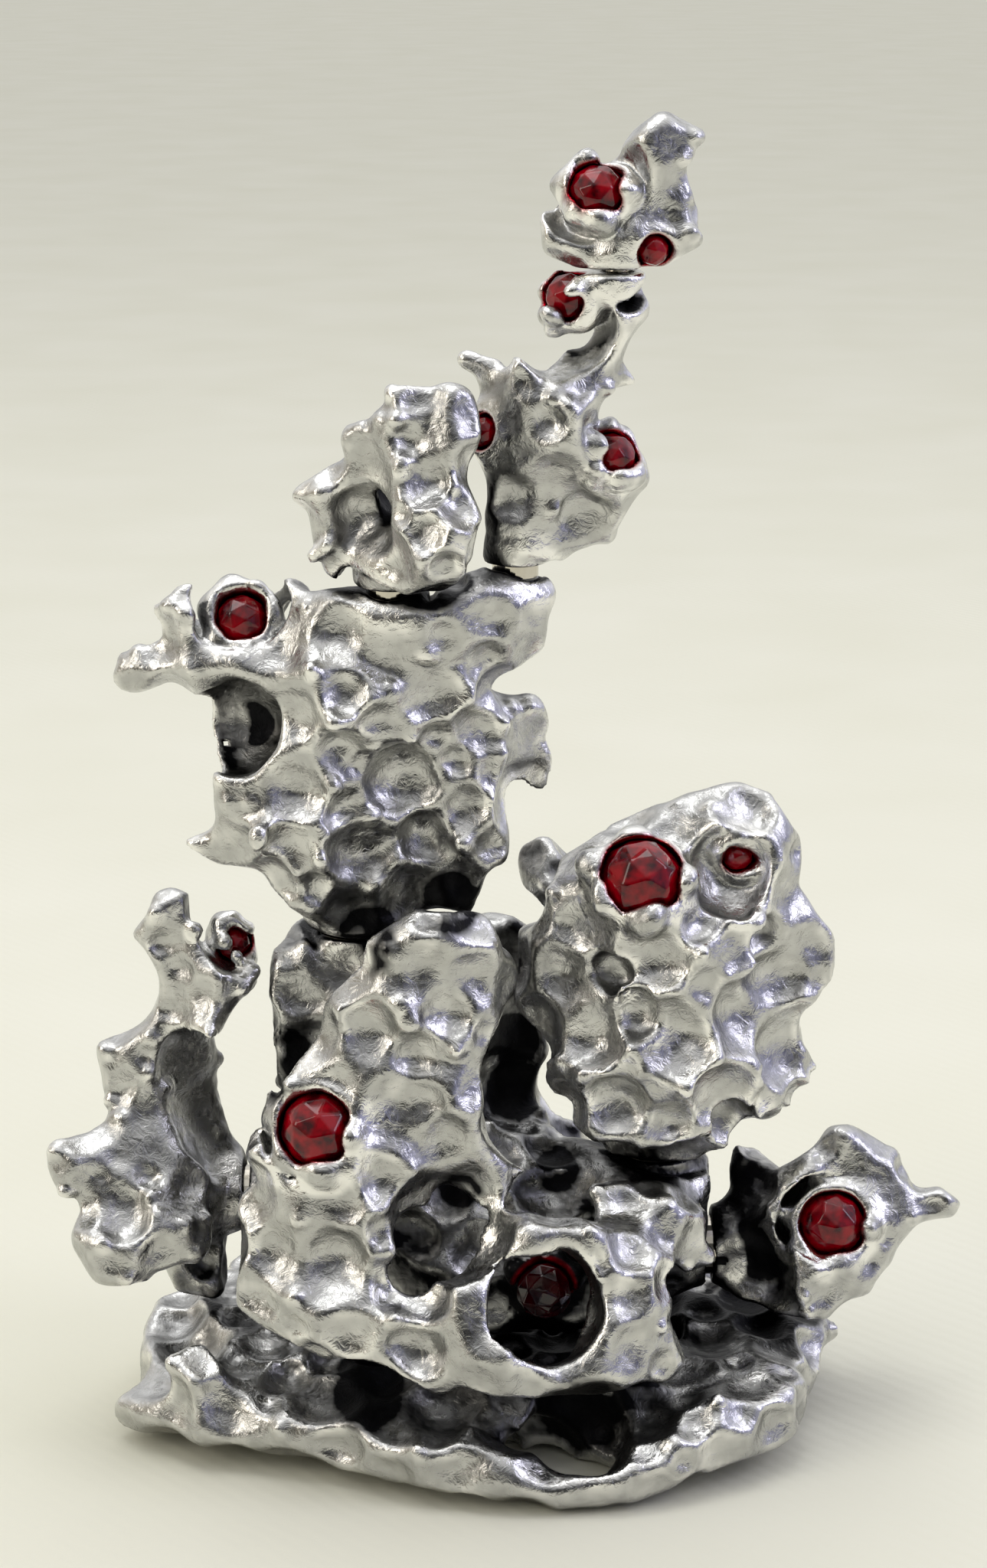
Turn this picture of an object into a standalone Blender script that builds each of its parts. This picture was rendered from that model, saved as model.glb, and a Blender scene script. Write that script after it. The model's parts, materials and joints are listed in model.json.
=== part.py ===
"""Desk sculpture: bright cast-metal lumps set with ruby glass beads, held together by disc magnets.

Molten metal poured over water-swollen beads freezes into knobbly limbs with round wells in them.
Seven such castings stack on a base. Where two castings meet, each holds a glued-in steel slug and
one loose disc magnet lies between the slugs, so the upper casting lifts off and turns on its magnet.
The frame is metres with +Z up and the origin in the middle of the face that stands on the desk.
"""

import math

import bmesh
import bpy
from mathutils import Matrix, Vector

MM = 0.001

# Driving dimensions, in millimetres.
GAP = 0.3  # between pieces that touch
VOXEL = 1.1  # how finely the poured lumps are fused before they are thinned
SMOOTH_PASSES = 6
SKIN = 0.7  # added to every ball, for what the smoothing and thinning take off again
FOOT_CLEARANCE = 2.0  # between the plate and the feet of the two side castings
MAGNET_THICK = 3.0
SLUG_THICK = 2.0
DISC_SIDES = 28

# The planes the castings are ground to where they meet, as heights or distances along X.
COLUMN_SEAT_Z = 67.0
FIST_SEAT_Z = 114.5
STEM_SEAT_Z = 116.5
CROWN_SEAT_Z = 154.4
HEAD_SEAT_Z = 36.5
WING_SEAT_X = -33.5
BRANCH_SEAT_X = 29.5
PLATE_TOP_Z = 12.5

# Colours are linear RGB.
METALS = {
    "cast_aluminium": ((0.83, 0.83, 0.82), 0.22, 1.0),
    "ground_steel": ((0.52, 0.52, 0.53), 0.35, 1.0),
    "nickel": ((0.66, 0.64, 0.60), 0.18, 1.0),
}
RUBY = ((0.36, 0.002, 0.006), 0.05, 0.0)

# Each casting is a set of limbs. A limb is a chain of balls (x, y, z, radius).
CROWN_LIMBS = {
    "left prong": [(10, 0, 171, 1.2), (8.2, 1, 167, 1.5), (8, 0, 162.5, 1.9)],
    "left cheek": [(8, 0, 162.5, 1.9), (7.2, 0, 157.8, 2), (12, 0, 158.2, 3.2)],
    "cup floor": [(12, 0, 158, 3.2), (12, 4, 160, 2.6), (11, 6, 164, 1.6)],
    "right horn": [
        (25.4, 0, 170.6, 1.3), (21.6, 0, 171.8, 2.2), (20, 0, 169.5, 3.8), (16.5, 2, 166, 2),
    ],
    "right cheek": [(19, 0, 165, 2.6), (24, 1, 163, 2.2), (23.5, -1, 157.5, 1.7)],
    "right bowl": [(19, 2, 160, 3.8), (16, 0, 157.5, 3.2)],
    "back bowl": [(16, 5, 163, 2.6), (20, 6, 167, 2.2), (17, 5, 159, 2.6)],
    "neck": [(15.5, 0, 159.5, 3.8), (15.5, 0, 153, 4)],
}
STEM_LIMBS = {
    "neck": [(15.5, 0, 155.5, 4), (15.2, 0, 149, 3.6), (13.5, 0, 145, 2.9), (10, 0, 140, 3.2)],
    "right nub": [(14.5, 0, 150, 2.2), (18.5, 2, 149, 1.6)],
    "left lip": [(13.5, 0, 147, 2.2), (10, -1, 147.5, 2.2), (7.5, -1, 147, 1.6)],
    "spike": [(12, 0, 141, 2.5), (16, 1, 140, 1.6), (19.4, 2, 139.5, 0.9)],
    "left horn": [(-4, 2, 143, 1.5), (0, 2, 142, 1.5), (0.5, 2, 138, 1.9), (1, 2, 133, 2.2)],
    "ridge": [(3, -3, 143.5, 1.6), (4, -3, 139, 2.2), (5, -2, 134, 3)],
    "throat": [(10, 0, 140, 3.2), (9.5, -4, 137, 3.2), (9, -4, 132.5, 3), (5, -1, 131, 3.6)],
    "shoulder": [(2, 0, 130, 3.4), (5, 1, 126.5, 4.2), (10, 3, 125, 4.4), (15, 1, 126, 3.6)],
    "shoulder tip": [(15, 1, 126, 3.6), (18, 1, 129, 2)],
    "belly": [(1.5, 0, 124, 3), (5, 2, 121.5, 3.8), (10, 3, 121.5, 3.8), (14, 2, 122.5, 2.8)],
    "back": [(8, 6, 133, 3), (5, 7, 128, 3.6), (10, 8, 124, 3.2)],
    "foot": [(4.5, 2, 121, 4.6), (3, 2, 116.5, 5.2)],
}
FIST_LIMBS = {
    "knuckle one": [(-11, -8, 138.5, 2.8), (-12, -7, 134, 3.4), (-10, -8, 130, 4.2)],
    "knuckle two": [(-5, -8, 139, 2.5), (-4, -9, 135.5, 2.6), (-7, -8, 131, 3.6)],
    "shoulder": [(-16, -5, 133, 3.3), (-12, -7, 131, 4)],
    "left horn": [(-25.3, -4, 126, 1.1), (-22, -4, 127, 1.9), (-17, -3, 127.5, 3.5)],
    "left wall": [(-20, -3, 127, 2.6), (-21, -3, 121, 2), (-19, -2, 117, 2.3)],
    "bowl back": [(-16, 2, 122, 4.2), (-13, -1, 118.5, 4.6)],
    "ball": [(-8, -9, 128, 4.4), (-7, -12, 123, 5.8)],
    "crest back": [(-13, 0, 131, 3.4), (-15, 3, 126, 3.4)],
    "heel": [(-8, -9, 120, 5), (-13, -3, 116.5, 5.6)],
}
COLUMN_LIMBS = {
    "crest": [
        (-24, 0, 111, 2.4), (-19, -3, 110.5, 4.2), (-10, -4, 110, 5), (-2, -2, 111, 5),
        (2.5, 2, 112, 5),
    ],
    "right nubs": [(3, 2, 112, 4), (7, 1, 113, 1.6)],
    "right nub low": [(0, 0, 106, 4), (5.5, 0, 107, 1.8)],
    "cheek": [(-23, -4, 106, 3.8), (-19, -7, 100, 5.2), (-11, -6, 99, 3)],
    "middle": [
        (-10, -2, 109, 6), (-12, 2, 100, 8), (-14, 2, 89, 8.5), (-15, 2, 80, 8), (-18, 3, 70, 7.5),
    ],
    "right side": [(-5, -5, 101, 3), (-3, 2, 94, 5), (-3, 0, 85, 5), (-2, 0, 79, 4), (-6, 0, 73, 3.4)],
    "right horn": [(0, 4, 95, 3.5), (5, 4, 97, 2), (8, 4, 95, 0.9)],
    "right edge": [(2, 4, 92, 2.8), (6.5, 4, 89, 2), (5.5, 4, 84, 1.5)],
    "left side": [(-24, -4, 96, 4.2), (-29, -4, 91, 3.8), (-34, -4, 90, 3), (-33, -4, 85, 3.3)],
    "left body": [(-24, -3, 89, 6.5), (-24, -4, 82, 6.5), (-24, -3, 75, 5)],
    "spur": [(-41.5, -2, 81, 0.9), (-38, -2, 80, 1.5), (-34.5, -2, 79, 2.2), (-28, -4, 81, 3.4)],
    "ring nub": [(-27, -7, 82, 2.8), (-30, -11, 83, 1.9)],
    "back": [(-6, 9, 108, 4), (-12, 11, 98, 5), (-18, 11, 88, 5), (-14, 11, 78, 4.5)],
    "back left": [(-26, 4, 100, 4), (-28, 5, 88, 4), (-25, 6, 78, 3.6)],
    "arm upper": [
        (-43.5, 0, 111, 1.2), (-39, -2, 112, 2.7), (-34, 0, 114, 2), (-29, 0, 116, 2),
        (-27, 0, 114, 1.8),
    ],
    "arm upper drop": [(-39, -2, 112, 2.6), (-38, -2, 108, 2.4)],
    "arm back": [(-38, 2, 107, 2.2), (-34, 7, 106, 2.4), (-27, 7, 109, 2.4), (-26, 3, 113, 1.9)],
    "arm lower": [
        (-47, 0, 102, 2.6), (-43, -1, 104, 2.6), (-38, -2, 104, 3), (-31, -4, 104.5, 2.6),
        (-23, -3, 105, 3.4),
    ],
    "arm strut": [(-38, -2, 103, 3), (-34, 3, 99.5, 2.2), (-29, 3, 101, 2.8)],
    "arm brace": [(-27, -4, 105, 2.6), (-25, -5, 99, 2.8), (-25, -4, 94, 2.8)],
    "arm pin": [(-34, 3, 99, 2), (-36, 3, 95, 1.5), (-34, 0, 91, 2)],
}
HEAD_LIMBS = {
    "core": [(23, 2, 64, 15), (25, 1, 52, 13)],
    "back": [(22, 11, 66, 8.5), (24, 10, 54, 7.5)],
    "back knob": [(14, 8, 66, 6), (8.5, 11, 71, 4.4), (6.5, 12, 73.5, 3.4)],
    "brow": [(14, 0, 75, 5.5), (21, 1, 79, 5), (27, 0, 79, 5)],
    "left temple": [(13, -3, 73, 6), (10, -4, 66, 6), (9, -4, 59, 5.5)],
    "left ear": [(6, 0, 66, 3.2), (6, -3, 60, 3.6)],
    "top knot": [(26, 2, 83.5, 2.4), (31, 2, 84.5, 3), (36, 1, 82, 3.8), (37.5, 1, 77, 3.4)],
    "hook": [(28, -5, 83, 1.6), (31, -6, 82.5, 1.6), (35, -5, 80, 2.2), (35.5, -5, 75.5, 2.4)],
    "cheek": [(20, -8, 72, 6.5), (21, -10, 65, 6.8), (30, -8, 68, 6.2)],
    "right nubs": [
        (37, -1, 70, 4.4), (42, -1, 68.5, 2), (44, -1, 65, 1.8), (43.5, -1, 60.5, 1.8),
        (39, -2, 60, 4.2),
    ],
    "right jaw": [(38, 0, 54, 4.4), (40.5, 0, 49, 3.7), (36, -2, 46, 5)],
    "jaw corner": [(38, 1, 47, 3.6), (36, 3, 42.5, 3)],
    "jaw": [(16, -9, 54, 7.2), (25, -10, 54, 7.6), (32, -6, 48, 6.2)],
    "chin": [(11, -8, 51, 4.6), (15, -10, 47, 5.4), (23, -9, 46, 6), (30, -6, 43.5, 4.4)],
    "heel": [(22, 1, 44, 8), (22, 1, 38, 8)],
}
WING_LIMBS = {
    "tall horn": [
        (-43, 0, 71, 2.5), (-45, 0, 65, 2.2), (-43, 0, 58, 1.8), (-44, 0, 53, 2.6),
        (-47, 0, 50, 3),
    ],
    "side tip": [(-45, 0, 67, 2), (-47.5, 0, 67, 1.1)],
    "left nub": [(-47, 0, 51, 2.8), (-51.5, 0, 50, 2.1), (-50.5, 0, 46.5, 2.4)],
    "second horn": [(-37.5, 0, 71, 2.2), (-39.5, 0, 66, 1.7), (-37, -3, 62, 2.8), (-34.5, -2, 59, 2)],
    "hook": [(-34.5, -2, 59, 1.9), (-32.4, -3, 63, 1.3), (-31.6, -2, 68.5, 0.8)],
    "cup back": [(-38, 2, 63, 2), (-34.5, 4, 62, 1.8), (-33, 1, 60, 1.8)],
    "finger": [(-38, -5, 56, 2.2), (-38, -7, 51, 2.7), (-40, -6, 48, 2.2)],
    "wall": [(-47, 0, 50, 3), (-47, 0, 43, 3.8), (-46, -2, 38, 4.2), (-42, -4, 33, 4.6)],
    "back wall": [(-40, 5, 55, 2.8), (-42, 6, 44, 4), (-40, 7, 34, 4.4), (-39, 5, 26, 4.8)],
    "back wall top": [(-43, 0, 58, 2), (-40, 4, 54, 2.8), (-37, 0, 57, 2)],
    "ring nub": [(-48, -2, 40, 3), (-53, -5, 38, 2.2), (-56.5, -7, 37.5, 3), (-56, -7, 35.5, 2.8)],
    "underarm": [(-53, -6, 36, 3), (-48, -6, 33, 3.6), (-43, -8, 30, 4)],
    "paddle": [(-52.5, -11, 28, 3.6), (-50, -12, 25.5, 4), (-45, -11, 28, 3.8), (-40.5, -9, 27, 3.5)],
    "boss": [(-38, 4, 28, 5.6), (-34, 4, 28, 5.6)],
    "foot": [(-42, 1, 27, 4.8), (-41, 2, 20, 4.2), (-40, 3, 16, 4.2)],
}
BRANCH_LIMBS = {
    "peak": [(47, 2, 37, 2.5), (45.5, 1, 34.5, 2.6), (40, -1, 31, 3)],
    "right peak": [(48, 2, 36.5, 2.5), (53, 2, 32, 3.2), (53, -1, 27.5, 3)],
    "back": [(46, 6, 29, 2.8), (44, 8, 23, 3.2), (51, 8, 21, 3.2), (53, 4, 29, 2.6)],
    "arm": [(52, -1, 26, 3.4), (57, 0, 28, 1.7), (61, 0, 28.5, 2.6)],
    "back crest": [(38, 4, 27, 3.4), (34.6, 6, 31, 2.8), (35.6, 6, 34.4, 2.2)],
    "cup front": [(38, -2, 26, 2.7), (42, -6, 21.5, 3.6), (49, -4, 20.5, 3.2), (53, -1, 24, 3)],
    "cup floor": [(42, 2, 20, 4), (49, 2, 20, 4)],
    "lower lobe": [(44, -5, 17.5, 4), (37, -3, 15.5, 3.4)],
    "bowl": [(38, 4, 24, 4), (35, 4, 20.5, 6), (31, 4, 20.5, 6)],
    "leg": [(36, 4, 19, 5), (37, 3, 16.5, 4.4)],
}
CRAG_LIMBS = {
    "back wall": [(-9, 13, 58, 5.5), (-5, 13, 51, 6.5), (-1, 14, 44, 6)],
    "wall's end": [(-5, 15, 58, 5), (1, 17, 60, 4.5), (2.5, 17, 52, 4.5), (3, 16, 44, 5)],
    "front hump": [(-14, -15, 69, 3.8), (-8, -16, 71.5, 4.4), (-3, -15, 71, 3.8), (0, -12, 65, 3.4)],
    "hump face": [(-17, -16, 61, 5), (-11, -17, 63, 5), (-4, -15, 60, 5)],
    "face": [(-21, -16, 54, 4), (-13, -16, 52, 6), (-5, -16, 50, 6)],
    "gem collar": [(-28, -18, 49, 3.6), (-28, -19, 44, 4), (-24, -20, 39, 4.8), (-17, -20, 43, 5)],
    "collar top": [(-24, -16, 53, 3.4), (-16, -18, 52, 3.8)],
    "prow": [(-5, -16, 45, 5), (0, -16, 39, 4), (4.5, -15, 39.5, 1.7)],
    "belly": [(-14, -20, 39, 6.4), (-17, -21, 31, 6), (-25, -19, 34, 5), (-31.5, -17, 33, 4.6)],
    "lower belly": [(-30, -20, 26, 5), (-21, -24, 22.5, 5.2), (-10, -26, 21, 4.8), (-8, -28, 18, 4)],
    "hole rim left": [(-4, -24, 33, 3.6), (-4, -27, 27, 4.6), (0, -30, 20, 4.8)],
    "hole rim top": [(-4, -24, 33, 3.6), (5, -25, 34, 3.6), (14, -24, 31.5, 4.4)],
    "hole rim right": [(14, -24, 31.5, 4.4), (19, -22, 27, 5.2), (15, -26, 22, 4.8)],
    "chin": [(0, -30, 20, 4.8), (6, -30, 17.5, 3), (13, -28, 18, 4.2), (21, -22, 17, 4.4)],
    "right shoulder": [(16, -14, 33.5, 4.4), (22.5, -13.5, 32, 4.8), (26, -10, 27, 4)],
    "head stand": [(21, 1, 30, 9.5), (19, 2, 22, 9.5)],
    "core": [(-20, 4, 28, 11), (-9, 5, 28, 14), (6, 4, 24, 13)],
    "low core": [(-20, 2, 19, 9), (-5, -2, 19, 10.5), (12, 0, 19, 10)],
    "column stand": [(-19, 4, 64, 8.5), (-18, 3, 54, 9), (-15, 4, 42, 11)],
    "back": [(-22, 16, 24, 8), (-6, 19, 26, 9), (10, 17, 24, 8.5), (-12, 14, 44, 7), (-20, 13, 56, 5)],
    "left post": [(-27.5, 1, 64, 2), (-28, -2, 59, 2.2), (-27, -2, 53, 2.6), (-25, 2, 44, 4.6)],
    "wing boss": [(-31, 4, 28, 6.4), (-25, 4, 28, 7)],
    "branch boss": [(27, 4, 20.5, 6.2), (22, 4, 20.5, 6.6)],
}
PLATE_LIMBS = {
    "left end": [(-49, -13, 4, 2.4), (-44, -15, 5, 3.4), (-38, -18, 7, 4)],
    "left nub": [(-39, -18, 12, 4), (-38, -19, 6, 4)],
    "front left": [(-38, -18, 6, 4.2), (-29, -20, 6, 4.4), (-18, -24, 6, 4.6), (-8, -29, 6, 4.4)],
    "front": [(-8, -29, 6, 4.4), (-1, -31, 5, 3.8), (8, -32, 3.2, 3.2), (17, -31, 4, 3.6)],
    "front right": [(17, -31, 4, 3.6), (23, -28, 6, 4.4), (29, -24, 7, 4.8), (35, -20, 7, 4.8)],
    "right end": [(35, -20, 7, 5), (38, -16, 7, 4.4), (34, -11, 7, 5)],
    "right knee": [(34, -13, 8, 4.4), (36, -11, 11, 3)],
    "back rim": [
        (38, -8, 6, 5), (42, 6, 6, 5), (34, 22, 6, 5), (14, 33, 6, 5), (-10, 34, 6, 5),
        (-32, 25, 6, 5), (-44, 8, 6, 5), (-44, -8, 5, 4.4),
    ],
    "slab front": [(-30, -8, 6, 9), (-14, -14, 6, 9), (0, -16, 6, 9), (14, -16, 6, 9), (28, -8, 6, 9)],
    "slab middle": [(-34, 4, 6, 9), (-18, 4, 6, 12), (0, 2, 6, 12), (18, 4, 6, 12), (32, 6, 6, 9)],
    "slab back": [(-26, 18, 6, 9), (-10, 22, 6, 10), (8, 22, 6, 10), (24, 16, 6, 9)],
}

# Glass beads: which casting holds each, its middle, its radius and which way its cup opens.
BEADS = {
    "bead_crown_cup": ("crown", (12.8, -1.2, 163.8), 3.5, (0.1, -0.7, 0.7)),
    "bead_crown_side": ("crown", (19.8, -1.8, 157.0), 1.9, (0.3, -0.8, -0.4)),
    "bead_neck": ("stem", (9.4, -0.6, 151.0), 2.9, (-0.7, -0.7, 0)),
    "bead_stem_fork": ("stem", (-1.2, -0.8, 134.0), 1.9, (-0.6, -0.7, 0.3)),
    "bead_shoulder": ("stem", (14.8, -1.6, 130.8), 3.1, (0.3, -0.5, 0.8)),
    "bead_arm": ("column", (-32.4, 0.2, 109.2), 3.4, (0, -0.8, 0.6)),
    "bead_wing": ("left_wing", (-34.6, 1.2, 65.2), 2.2, (0.1, -0.95, 0.1)),
    "bead_brow": ("head", (18.9, -9.6, 77.2), 5.4, (0, -0.75, 0.66)),
    "bead_hook": ("head", (31.8, -2.6, 78.6), 2.0, (0.2, -0.9, 0.1)),
    "bead_collar": ("crag", (-22.4, -19.6, 47.0), 4.9, (-0.2, -0.85, 0.4)),
    "bead_hollow": ("crag", (6.6, -17.6, 23.6), 3.6, (0, -1, 0.1)),
    "bead_branch": ("branch", (45.6, -2.4, 26.4), 4.5, (0, -0.9, 0.35)),
}
CUP_WALL = 1.9  # metal round a bead
MOUTH_REACH = 1.15  # how far the balls that open a cup stand out, in bead radii and twice that
MOUTH_MARGIN = 0.9  # how much larger than the bead those balls are

# Round hollows left by the water beads: casting, middle, radius.
WELLS = {
    "crown": [((13.4, -1, 168.8), 3.2)],
    "column": [
        ((-30.5, -5, 98.5), 3.4),
        ((-11, -11, 86), 6.6),
        ((-3, -10, 76), 4.6),
        ((-26, -12, 68.5), 6.5),
    ],
    "head": [((5, -9, 53.5), 3.8)],
    "left_wing": [((-42, -8, 55), 3.2), ((-42, -9, 43.5), 4.4)],
    "branch": [((33.5, -6.5, 19.5), 6.0)],
    "crag": [
        ((6.6, -28, 25.5), 6.3),
        ((6.6, -21.5, 25), 5.7),
        ((5, -13, 52), 8.5),
        ((3, -11, 44), 6.5),
        ((-30, -14, 56), 5.6),
        ((-33, -9, 47), 4.2),
        ((-7, -25, 37), 4.8),
        ((-27, -20, 14.5), 6.2),
        ((-16, -28, 13.5), 5.0),
        ((11.5, -34, 10.5), 6.4),
    ],
    "base_plate": [
        ((9, -31.4, 9.6), 4.6),
        ((13.5, -30.8, 9.4), 4.6),
        ((11, -26, 9), 6),
        ((-12, -27, 13), 4),
    ],
}

# Magnet seats: the pair of castings, the seat's middle, its outward direction and the magnet's radius.
UP = Vector((0, 0, 1))
LEFT = Vector((-1, 0, 0))
RIGHT = Vector((1, 0, 0))
SEATS = {
    "column": ("crag", "column", (-18.5, 3, COLUMN_SEAT_Z), UP, 4.0),
    "fist": ("column", "fist", (-13, -3, FIST_SEAT_Z), UP, 3.0),
    "stem": ("column", "stem", (2.8, 2, STEM_SEAT_Z), UP, 3.0),
    "crown": ("stem", "crown", (15.5, 0, CROWN_SEAT_Z), UP, 1.5),
    "head": ("crag", "head", (22, 1, HEAD_SEAT_Z), UP, 4.0),
    "wing": ("crag", "left_wing", (WING_SEAT_X, 4, 28), LEFT, 4.0),
    "branch": ("crag", "branch", (BRANCH_SEAT_X, 4, 20.5), RIGHT, 4.0),
}
# How far round its middle each seat's lower casting is ground down to the seat plane.
SEAT_LAND = {"column": 19.0, "fist": 9.6, "stem": 7.0, "crown": 7.0, "head": 10.5}

# Boxes cut from a casting so that it clears its neighbours: low corner and high corner.
FAR = 200
FOOT_Z = PLATE_TOP_Z + FOOT_CLEARANCE
CLEARANCE_BOXES = {
    "left_wing": [
        ((WING_SEAT_X - GAP / 2, -FAR, -FAR), (FAR, FAR, 50)),
        ((-30.7, -FAR, 49), (FAR, FAR, FAR)),
        ((-FAR, -FAR, -FAR), (FAR, FAR, FOOT_Z)),
    ],
    "branch": [
        ((-FAR, -FAR, -FAR), (BRANCH_SEAT_X + GAP / 2, FAR, FAR)),
        ((-FAR, -FAR, -FAR), (FAR, FAR, FOOT_Z)),
    ],
    "crag": [
        ((-FAR, -FAR, -FAR), (WING_SEAT_X + GAP / 2, FAR, 47)),
        ((-FAR, -FAR, 46), (-29.8, FAR, FAR)),
        ((BRANCH_SEAT_X - GAP / 2, -FAR, -FAR), (FAR, FAR, FAR)),
        ((-FAR, -FAR, -FAR), (FAR, FAR, PLATE_TOP_Z)),
    ],
    "base_plate": [
        ((-FAR, -FAR, -FAR), (FAR, FAR, 0)),
        ((-34, -22, PLATE_TOP_Z - GAP), (45, FAR, FAR)),
        ((-FAR, -8, PLATE_TOP_Z - GAP), (-33, FAR, FAR)),
    ],
}

# Share of the fused surface's faces that each casting keeps.
THINNING = {
    "base_plate": 0.045,
    "crag": 0.055,
    "column": 0.065,
    "head": 0.06,
    "left_wing": 0.085,
    "branch": 0.085,
    "stem": 0.10,
    "fist": 0.09,
    "crown": 0.13,
}


def remove_all_objects():
    for old in list(bpy.data.objects):
        bpy.data.objects.remove(old)


def make_material(name, look):
    color, roughness, metallic = look
    material = bpy.data.materials.new(name)
    material.use_nodes = True
    shader = material.node_tree.nodes["Principled BSDF"]
    shader.inputs["Base Color"].default_value = (*color, 1)
    shader.inputs["Roughness"].default_value = roughness
    shader.inputs["Metallic"].default_value = metallic
    return material


def link_mesh(name, bm, material=None):
    mesh = bpy.data.meshes.new(name)
    bm.to_mesh(mesh)
    bm.free()
    made = bpy.data.objects.new(name, mesh)
    bpy.context.scene.collection.objects.link(made)
    if material:
        mesh.materials.append(material)
    return made


def hide_as_cutter(cutter):
    cutter.hide_render = True
    cutter.display_type = "WIRE"
    return cutter


def freeze(made):
    """The object's mesh with its modifiers applied."""
    graph = bpy.context.evaluated_depsgraph_get()
    mesh = bpy.data.meshes.new_from_object(made.evaluated_get(graph))
    made.modifiers.clear()
    made.data = mesh
    return made


def keep_largest_body(made):
    """Drops the crumbs and sealed bubbles that carving leaves beside the main body."""
    bm = bmesh.new()
    bm.from_mesh(made.data)
    waiting = set(bm.verts)
    bodies = []
    while waiting:
        body = set()
        edge_of_body = [waiting.pop()]
        while edge_of_body:
            vert = edge_of_body.pop()
            body.add(vert)
            for edge in vert.link_edges:
                other = edge.other_vert(vert)
                if other in waiting:
                    waiting.remove(other)
                    edge_of_body.append(other)
        bodies.append(body)
    bodies.sort(key=len)
    crumbs = [vert for body in bodies[:-1] for vert in body]
    bmesh.ops.delete(bm, geom=crumbs, context="VERTS")
    bm.to_mesh(made.data)
    bm.free()


def add_ball(bm, middle, radius, rounds=2):
    bmesh.ops.create_icosphere(
        bm, subdivisions=rounds, radius=radius * MM, matrix=Matrix.Translation(Vector(middle) * MM)
    )


def add_limb(bm, chain):
    """Balls strung along the chain, near enough to fuse."""
    for start, end in zip(chain, chain[1:]):
        a, b = Vector(start), Vector(end)
        spacing = 0.6 * min(a[3], b[3])
        steps = max(1, math.ceil((b.xyz - a.xyz).length / spacing))
        for step in range(steps + 1):
            here = a.lerp(b, step / steps)
            add_ball(bm, here.xyz, here[3] + SKIN)


def add_box(bm, low, high):
    size = Vector(high) - Vector(low)
    middle = (Vector(high) + Vector(low)) / 2
    place = Matrix.Translation(middle * MM) @ Matrix.Diagonal((*(size * MM), 1))
    bmesh.ops.create_cube(bm, size=1, matrix=place)


def add_disc(bm, middle, axis, radius, low, high):
    """A cylinder about the axis through middle, from low to high along it."""
    turn = UP.rotation_difference(axis).to_matrix().to_4x4()
    place = Matrix.Translation((Vector(middle) + axis * (low + high) / 2) * MM) @ turn
    bmesh.ops.create_cone(
        bm,
        cap_ends=True,
        segments=DISC_SIDES,
        radius1=radius * MM,
        radius2=radius * MM,
        depth=(high - low) * MM,
        matrix=place,
    )


def subtract(made, name, fill_cutter):
    """Cuts what fill_cutter draws out of the object."""
    bm = bmesh.new()
    fill_cutter(bm)
    cutter = hide_as_cutter(link_mesh(name, bm))
    cut = made.modifiers.new(name, "BOOLEAN")
    cut.operation = "DIFFERENCE"
    cut.solver = "EXACT"
    cut.use_self = True
    cut.object = cutter
    freeze(made)


def fuse(made):
    """Voxel remesh and a smoothing, as surface tension rounds the melt."""
    remesh = made.modifiers.new("Fuse", "REMESH")
    remesh.mode = "VOXEL"
    remesh.voxel_size = VOXEL * MM
    smooth = made.modifiers.new("Surface tension", "SMOOTH")
    smooth.factor = 0.5
    smooth.iterations = SMOOTH_PASSES
    freeze(made)


def pour_casting(name, limbs, material):
    """Balls along every limb and round every bead, fused, with wells and cups' mouths taken out."""
    bm = bmesh.new()
    for chain in limbs.values():
        add_limb(bm, chain)
    wells = list(WELLS.get(name, []))
    for casting, middle, radius, facing in BEADS.values():
        if casting == name:
            add_ball(bm, middle, radius + CUP_WALL)
            out = Vector(facing).normalized() * radius * MOUTH_REACH
            wells.append((Vector(middle) + out, radius + MOUTH_MARGIN))
            wells.append((Vector(middle) + 2 * out, radius + MOUTH_MARGIN))
    made = link_mesh(name, bm)
    fuse(made)
    if wells:

        def fill_wells(bm):
            for middle, radius in wells:
                add_ball(bm, middle, radius, rounds=3)

        subtract(made, name + " wells", fill_wells)
        fuse(made)
    keep_largest_body(made)
    thin = made.modifiers.new("Thin", "DECIMATE")
    thin.ratio = THINNING[name]
    freeze(made)
    keep_largest_body(made)
    made.data.materials.clear()
    made.data.materials.append(material)
    return made


def clear_neighbours(castings):
    """Saws each casting back from its neighbours, the plate from the desk and the crag."""
    for name, boxes in CLEARANCE_BOXES.items():
        for number, (low, high) in enumerate(boxes):

            def saw(bm, low=low, high=high):
                add_box(bm, low, high)

            subtract(castings[name], f"{name} clearance {number + 1}", saw)
        keep_largest_body(castings[name])


def grind_seat(castings, seat_name):
    """Both castings are ground flat at an upright seat, the upper one right across."""
    lower, upper, middle, axis, _ = SEATS[seat_name]
    if axis != UP:
        return

    def grind_up_to(bm):
        add_disc(bm, middle, axis, SEAT_LAND[seat_name], -GAP / 2, 14)

    def grind_down_to(bm):
        add_disc(bm, middle, axis, FAR / 2, -FAR, GAP / 2)

    subtract(castings[lower], seat_name + " land", grind_up_to)
    subtract(castings[upper], seat_name + " face", grind_down_to)
    keep_largest_body(castings[lower])
    keep_largest_body(castings[upper])


def drill_pockets(castings, seat_name):
    """A round pocket in each casting takes its slug and half the magnet's thickness."""
    lower, upper, middle, axis, radius = SEATS[seat_name]
    depth = MAGNET_THICK / 2 + GAP + SLUG_THICK + GAP

    def drill_lower(bm):
        add_disc(bm, middle, axis, radius + GAP, -depth, 3)

    def drill_upper(bm):
        add_disc(bm, middle, axis, radius + GAP, -3, depth)

    subtract(castings[lower], seat_name + " lower pocket", drill_lower)
    subtract(castings[upper], seat_name + " upper pocket", drill_upper)


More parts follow.
